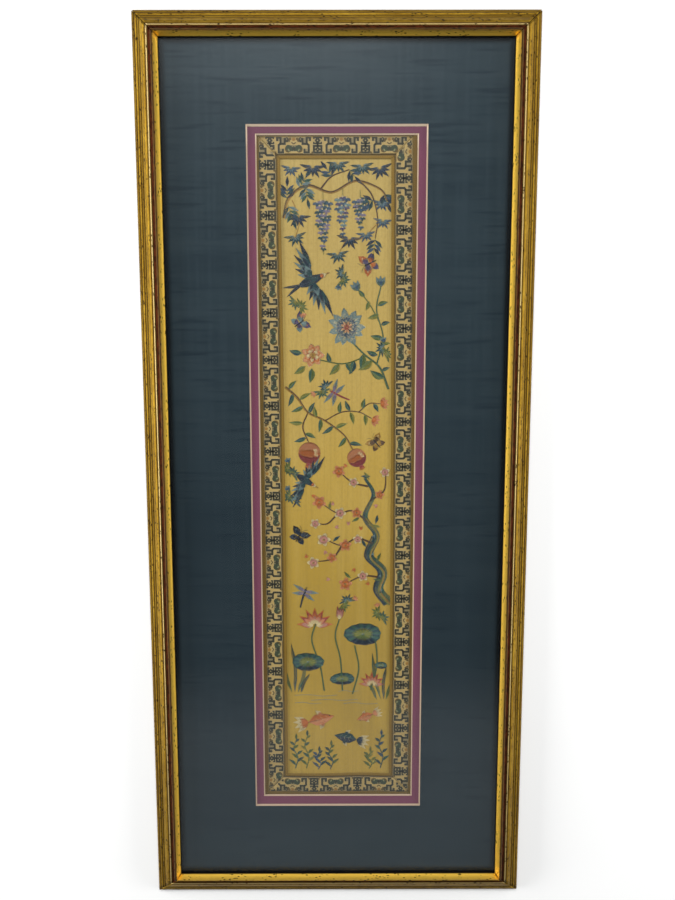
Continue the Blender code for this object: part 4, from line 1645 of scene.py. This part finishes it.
    def water_lilies(self) -> None:
        """Work the pond: pads, flowers, stalks, reeds and ripples."""
        needle = self.needle
        stalks = (
            [(-14, -212), (-18, -186), (-26, -160), (-22, -142)], [(14, -216), (20, -190), (16, -166)],
            [(4, -212), (2, -180), (-3, -156), (1, -138)], [(32, -212), (38, -184), (36, -156)],
        )
        for stalk in stalks:
            needle.stem((LEAF, JADE), stalk, 1.5, 1.2)
        self.lily_pad((24, -154), 18.0, 0.62)
        self.lily_pad((-30, -182), 15.5, 0.60)
        self.lily_pad((4, -200), 12.0, 0.52)
        self.lily_pad((42, -186), 6.0, 0.60)
        self.open_lily((-23, -144), 16.0)
        self.open_lily((33, -206), 12.0)
        for turn in (-15, 15, 0):
            needle.petal((ROSE, PINK, CREAM), (1, -138), 84 + turn, 13.0, 4.6, 0.5 + 0.02 * turn, 0.7)
        for number, (base, angle, length, bend) in enumerate((
            ((-43, -214), 94, 52, -0.07), ((-40, -214), 80, 40, -0.10), ((-46, -214), 104, 26, 0.05),
            ((45, -222), 86, 36, 0.08), ((42, -222), 100, 50, 0.06), ((47, -222), 76, 20, 0.0),
            ((-37, -214), 66, 22, 0.12), ((38, -222), 118, 24, -0.1),
        )):
            needle.blade((TEAL, JADE, LEAF)[number % 3], base, angle, length, 3.3, bend, 0.3)
        for x, y, length in ((-22, -217, 42), (-4, -222, 46), (22, -226, 34), (-30, -225, 26),
                             (10, -213, 20)):
            line = [(x - length / 2, y), (x - length / 6, y + 0.8), (x + length / 6, y - 0.6),
                    (x + length / 2, y + 0.2)]
            needle.cord(SKY, curve_through(line, 2.0), 0.00042, 0.1)

    def moth(self, middle: Place, heading: float, size: float, wing: Sequence[Floss], mark: Floss) -> None:
        """Work a moth from above: two pairs of banded wings, a striped body and its feelers."""
        needle = self.needle
        for sign in (1, -1):
            fore = polar(middle, heading, size * 0.16)
            needle.petal(wing, fore, heading + sign * 62, size, size * 0.62, 0.4, 0.30, 0.15)
            hind = polar(middle, heading, -size * 0.06)
            needle.petal(wing[::-1], hind, heading + sign * 118, size * 0.78, size * 0.56, 0.2, 0.20, 0.15)
            needle.knots(mark, polar(fore, heading + sign * 62, size * 0.62), size * 0.08, 4, 1.8)
            feeler = [polar(middle, heading, size * 0.42), polar(middle, heading + sign * 12, size * 0.75),
                      polar(middle, heading + sign * 24, size * 1.0)]
            needle.cord(BLACK, curve_through(feeler, 1.2), 0.00030, 0.2)
        body = [polar(middle, heading, size * 0.42), middle, polar(middle, heading, -size * 0.5)]
        needle.stem((BLACK,), body, size * 0.15, size * 0.07, 2.0)

    def swallow(self, middle: Place, heading: float, size: float) -> None:
        """Work a swallow in flight: swept wings of long feathers, a forked tail and a pale breast."""
        needle = self.needle
        for sign in (1, -1):
            shoulder = polar(middle, heading + sign * 90, size * 0.10)
            for feather in range(6):
                share = feather / 5
                root = polar(shoulder, heading + sign * (80 - 10 * share), size * 0.30 * share)
                angle = heading + sign * (148 - 58 * share)
                bands = (NAVY, TEAL) if feather % 2 else (SKY, NAVY)
                needle.petal(bands, root, angle, size * (0.42 + 0.42 * share), size * 0.15,
                             0.4 + 0.3 * feather, 0.5)
            needle.petal((SKY, TEAL), shoulder, heading + sign * 96, size * 0.40, size * 0.20, 2.6, 0.3)
            needle.blade(NAVY, polar(middle, heading, -size * 0.34), heading + 180 - sign * 14, size * 0.62,
                         size * 0.09, sign * 0.05, 0.4)
        needle.petal((NAVY, TEAL, NAVY), polar(middle, heading, -size * 0.42), heading, size * 0.88,
                     size * 0.28, 3.0, 0.5, 0.4)
        needle.petal((CREAM, ORANGE), polar(middle, heading, size * 0.24), heading, size * 0.20,
                     size * 0.15, 4.2, 0.4)
        needle.blade(OCHRE, polar(middle, heading, size * 0.44), heading, size * 0.10, size * 0.05, 0.0, 4.2)

    def darter(self, middle: Place, heading: float, size: float, body: Floss) -> None:
        """Work a slim four-winged insect with a long banded body."""
        needle = self.needle
        for sign in (1, -1):
            for swing, length in ((78, 0.62), (108, 0.56)):
                root = polar(middle, heading, size * (0.10 if swing < 90 else 0.0))
                needle.petal((SKY, LILAC), root, heading + sign * swing, size * length, size * 0.17,
                             0.4, 0.5, 0.25)
        needle.stem((body,), [polar(middle, heading, size * 0.2), polar(middle, heading, -size * 0.2),
                              polar(middle, heading + 4, -size * 0.66)], size * 0.095, size * 0.055, 1.4)
        needle.knots(BLACK, polar(middle, heading, size * 0.26), size * 0.05, 4, 1.6)

    def fish(self, middle: Place, heading: float, size: float, flosses: Sequence[Floss]) -> None:
        """Work a small round-finned fish: a scaled body, a fanned tail and an eye."""
        needle = self.needle
        tail = polar(middle, heading, -size * 0.40)
        needle.fan((CREAM, flosses[0]), tail, heading + 180, (-34, -12, 12, 34), size * 0.48, size * 0.17,
                   0.2, 0.4)
        for sign in (1, -1):
            fin = polar(polar(middle, heading, size * 0.08), heading + sign * 90, size * 0.12)
            needle.petal((CREAM, flosses[1]), fin, heading + sign * 128, size * 0.26, size * 0.15, 0.2, 0.4)
        needle.leaf(flosses, tail, heading, size * 0.86, size * 0.38, 0.9)
        for step in range(3):
            ring = polar(middle, heading, size * (-0.18 + 0.16 * step))
            arc = [polar(ring, heading + turn, size * 0.10) for turn in (-70, 0, 70)]
            needle.cord(CREAM, curve_through(arc, 0.9), 0.00032, 2.2)
        eye = polar(polar(middle, heading, size * 0.32), heading + 90, size * 0.06)
        needle.knots(BLACK, eye, 0.5, 3, 2.6)

    def weed(self, base: Place, height: float, flosses: Sequence[Floss]) -> None:
        """Work an upright water weed: a wavy stalk with small blades to each side."""
        needle = self.needle
        path = needle.stem((flosses[0],), [base, (base[0] + 2.5, base[1] + height * 0.35),
                                           (base[0] - 1.5, base[1] + height * 0.7),
                                           (base[0] + 1, base[1] + height)],
                           1.0, 0.6)
        for index in range(8):
            place = path[int((0.10 + 0.12 * index) * (len(path) - 1))]
            side = 1 if index % 2 else -1
            floss = flosses[index % len(flosses)]
            needle.blade(floss, tuple(place), 90 - side * 48, 9.5 - 0.6 * index, 2.8, side * 0.08, 0.4)
        needle.blade(flosses[-1], tuple(path[-1]), 90, 7.0, 2.4, 0.0, 0.4)

    def creatures(self) -> None:
        """Work the moths, swallows, darters and fish, and the weeds at the foot."""
        self.moth((31, 205), 205, 11.5, (ORANGE, PURPLE), CREAM)
        self.moth((-35, 150), 35, 10.5, (PURPLE, SKY), ORANGE)
        self.swallow((-22, 190), 24, 31)
        self.swallow((-30, 0), -32, 24)
        self.darter((-2, 84), 150, 22, ROSE)
        self.darter((-33, -112), 70, 22, NAVY)
        self.moth((-38, -55), 60, 11.0, (BLACK, NAVY), SKY)
        self.moth((37, 36), 130, 10.0, (OCHRE, BROWN), CREAM)
        self.fish((-18, -242), 14, 31, (ORANGE, SALMON))
        self.fish((8, -262), 166, 27, (NAVY, TEAL))
        self.fish((27, -240), 202, 20, (SALMON, ORANGE))
        for base, height, flosses in (
            ((-43, -294), 30, (JADE, TEAL, LEAF)), ((-32, -294), 34, (LEAF, MOSS, JADE)),
            ((42, -294), 34, (TEAL, JADE, BLUE)), ((31, -295), 17, (LEAF, MOSS)),
            ((-8, -295), 24, (TEAL, LEAF)), ((-20, -295), 18, (BLUE, TEAL)),
        ):
            self.weed(base, height, flosses)

    def sprigs(self) -> None:
        """Scatter small sprigs of leaves, each with a little flower at its tip."""
        needle = self.needle
        places = (((6, 199), 255), ((-40, 172), 300), ((46, 118), 100), ((-8, 92), 210),
                  ((-42, 4), 110), ((2, -126), 30), ((-40, -22), 120), ((44, -140), 110))
        shades = ((TEAL, SKY), (JADE, MOSS), (LEAF, MOSS))
        for number, (base, angle) in enumerate(places):
            path = needle.stem((LEAF,), [base, polar(base, angle + 12, 7), polar(base, angle, 15)], 0.9, 0.6)
            for index, share in enumerate((0.2, 0.6)):
                place = tuple(path[int(share * (len(path) - 1))])
                self.palmate_leaf(place, angle + (70 if index else -70), 7.5, *shades[(number + index) % 3])
            petals = (SALMON,) if number % 2 else (SKY, BLUE)
            needle.fan(petals, tuple(path[-1]), angle, (-40, 0, 40), 4.6, 2.6, 0.9, 0.3)


@dataclass
class Glazing:
    """The glass and the backing board, which keep their solids and get their materials here.

    The painted reflection grows between two heights at either end, and is fainter towards the right at the
    top.
    """

    top_reflection: Span = (0.05, 0.42)
    top_reflection_strength: float = 0.013
    reflection_right_falloff: Span = (0.0, 0.13)
    foot_reflection: Span = (-0.16, -0.27)
    foot_reflection_strength: float = 0.058

    def dress(self) -> None:
        """Give both their materials."""
        self.assign("glass", self.glass_with_painted_reflection())
        self.assign("backing_board", self.grey_board())

    @staticmethod
    def assign(node: str, material: Material) -> None:
        """Put one material on a solid."""
        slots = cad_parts[node].data.materials
        slots.clear()
        slots.append(material)

    def glass_with_painted_reflection(self) -> Material:
        """Make thin glass as a faint mirror film, a little smeared, with a painted reflection that is
        stronger at both ends.
        """
        dye = Dye("glass_with_painted_reflection", Base_Color=(0.77, 0.84, 0.86), Metallic=1.0, Roughness=0.25)
        smear = dye.grain(5.0, 8.0, 4.0, 0.6)
        x, height, _ = dye.parts(dye.place())
        # Painted reflection: the mirror film is made stronger towards the top and the foot, and weaker to the
        # right at the top.
        reflection_falloff = 1 - x.between(*self.reflection_right_falloff) * 0.75
        ends = height.between(*self.top_reflection) * reflection_falloff * self.top_reflection_strength
        ends = ends + height.between(*self.foot_reflection) * self.foot_reflection_strength
        dye.feed("Alpha", 0.004 + smear * 0.010 + ends)
        return dye.material

    @staticmethod
    def grey_board() -> Material:
        """Make plain backing board with a fibrous face."""
        dye = Dye("backing_card", Roughness=0.85)
        fibre = dye.grain(400.0, 60.0, 3.0)
        dye.feed("Base Color", dye.mix(fibre, (0.30, 0.24, 0.17), (0.42, 0.35, 0.26)))
        dye.bump(fibre, 0.0001, 0.5)
        return dye.material


@dataclass(frozen=True)
class Lamp:
    """A rectangular soft lamp: where it hangs, where it aims, its size and its power."""

    name: str
    place: Point
    aim: Point
    wide: float
    tall: float
    power: float


@dataclass
class Studio:
    """The pale floor, the soft lights and the camera."""

    camera_place: Point = (-0.0018, 0.2118, 1.036)
    camera_ahead: Point = (0.0018, -0.1739, -0.9848)
    camera_up: Point = (0.0016, 0.9848, -0.1738)
    lens: float = 44.0
    sensor: float = 36.0
    floor_reach: float = 3.0
    sky_strength: float = 0.26
    lamps: tuple[Lamp, ...] = (
        Lamp("over", (0.0, 1.6, 2.2), (0.0, 0.0, 0.0), 1.6, 1.0, 51.0),
        Lamp("left", (-1.5, 0.1, 0.55), (0.0, 0.0, 0.0), 1.8, 0.6, 23.0),
        Lamp("right", (1.5, 0.1, 0.55), (0.0, 0.0, 0.0), 1.8, 0.6, 16.5),
        Lamp("glow", (-0.08, 0.80, 1.9), (-0.04, 0.40, 0.0), 0.5, 0.22, 0.5),
    )

    def build(self) -> None:
        """Make the whole set."""
        self.floor()
        self.sky()
        for lamp in self.lamps:
            self.hang(lamp)
        self.camera()

    def floor(self) -> None:
        """Lay a plain pale floor."""
        reach = self.floor_reach
        mesh = bpy.data.meshes.new("pale_floor")
        corners = [(-reach, -reach, 0.0), (reach, -reach, 0.0), (reach, reach, 0.0), (-reach, reach, 0.0)]
        mesh.from_pydata(corners, [], [(0, 1, 2, 3)])
        dye = Dye("pale_floor", Roughness=0.7)
        grain = dye.noise(dye.place(), 6.0, 2.0)
        dye.feed("Base Color", dye.mix(grain, (0.94, 0.94, 0.93), (0.97, 0.97, 0.96)))
        mesh.materials.append(dye.material)
        floor = bpy.data.objects.new("pale_floor", mesh)
        bpy.context.scene.collection.objects.link(floor)

    def sky(self) -> None:
        """Light the set softly from all round."""
        world = bpy.data.worlds.new("soft_sky")
        world.use_nodes = True
        back = world.node_tree.nodes["Background"]
        back.inputs["Color"].default_value = (0.96, 0.98, 1.0, 1.0)
        back.inputs["Strength"].default_value = self.sky_strength
        bpy.context.scene.world = world

    def hang(self, lamp: Lamp) -> None:
        """Hang one lamp and turn it to its aim."""
        light = bpy.data.lights.new(f"lamp_{lamp.name}", "AREA")
        light.shape = "RECTANGLE"
        light.size = lamp.wide
        light.size_y = lamp.tall
        light.energy = lamp.power
        hung = bpy.data.objects.new(f"lamp_{lamp.name}", light)
        hung.location = lamp.place
        hung.rotation_euler = (Vector(lamp.aim) - Vector(lamp.place)).to_track_quat("-Z", "Y").to_euler()
        bpy.context.scene.collection.objects.link(hung)

    def camera(self) -> None:
        """Stand the camera over the panel, as the photograph has it."""
        data = bpy.data.cameras.new("camera")
        data.lens = self.lens
        data.sensor_width = self.sensor
        camera = bpy.data.objects.new("camera", data)
        ahead, up = Vector(self.camera_ahead).normalized(), Vector(self.camera_up).normalized()
        turned = Matrix([ahead.cross(up), up, -ahead]).transposed().to_4x4()
        camera.matrix_world = Matrix.Translation(self.camera_place) @ turned
        bpy.context.scene.collection.objects.link(camera)
        bpy.context.scene.camera = camera


def main() -> None:
    """Build and dress the framed panel, then the set round it."""
    logging.basicConfig(level=logging.INFO, format="%(message)s")
    bpy.context.scene.view_settings.view_transform = "Standard"
    panel = Panel()
    GiltFrame().build()
    LOG.info("gilt frame made")
    Mats().build()
    LOG.info("mats made")
    ribbon = Ribbon(panel).build()
    LOG.info("ribbon made: %d pieces", len(ribbon))
    braids = Braids(panel).build()
    LOG.info("braids made: %d pieces", len(braids))
    needle = Needle(panel)
    Garden(needle).work()
    stitched = needle.build()
    stitches = sum(len(rows) for laid in needle.rows.values() for rows in laid)
    LOG.info("embroidery made: %d colours, %d stitches", len(stitched), stitches)
    SilkGround(panel).build([*ribbon, *braids, *stitched])
    LOG.info("silk ground made")
    Glazing().dress()
    Studio().build()


if __name__ == "__main__":
    main()
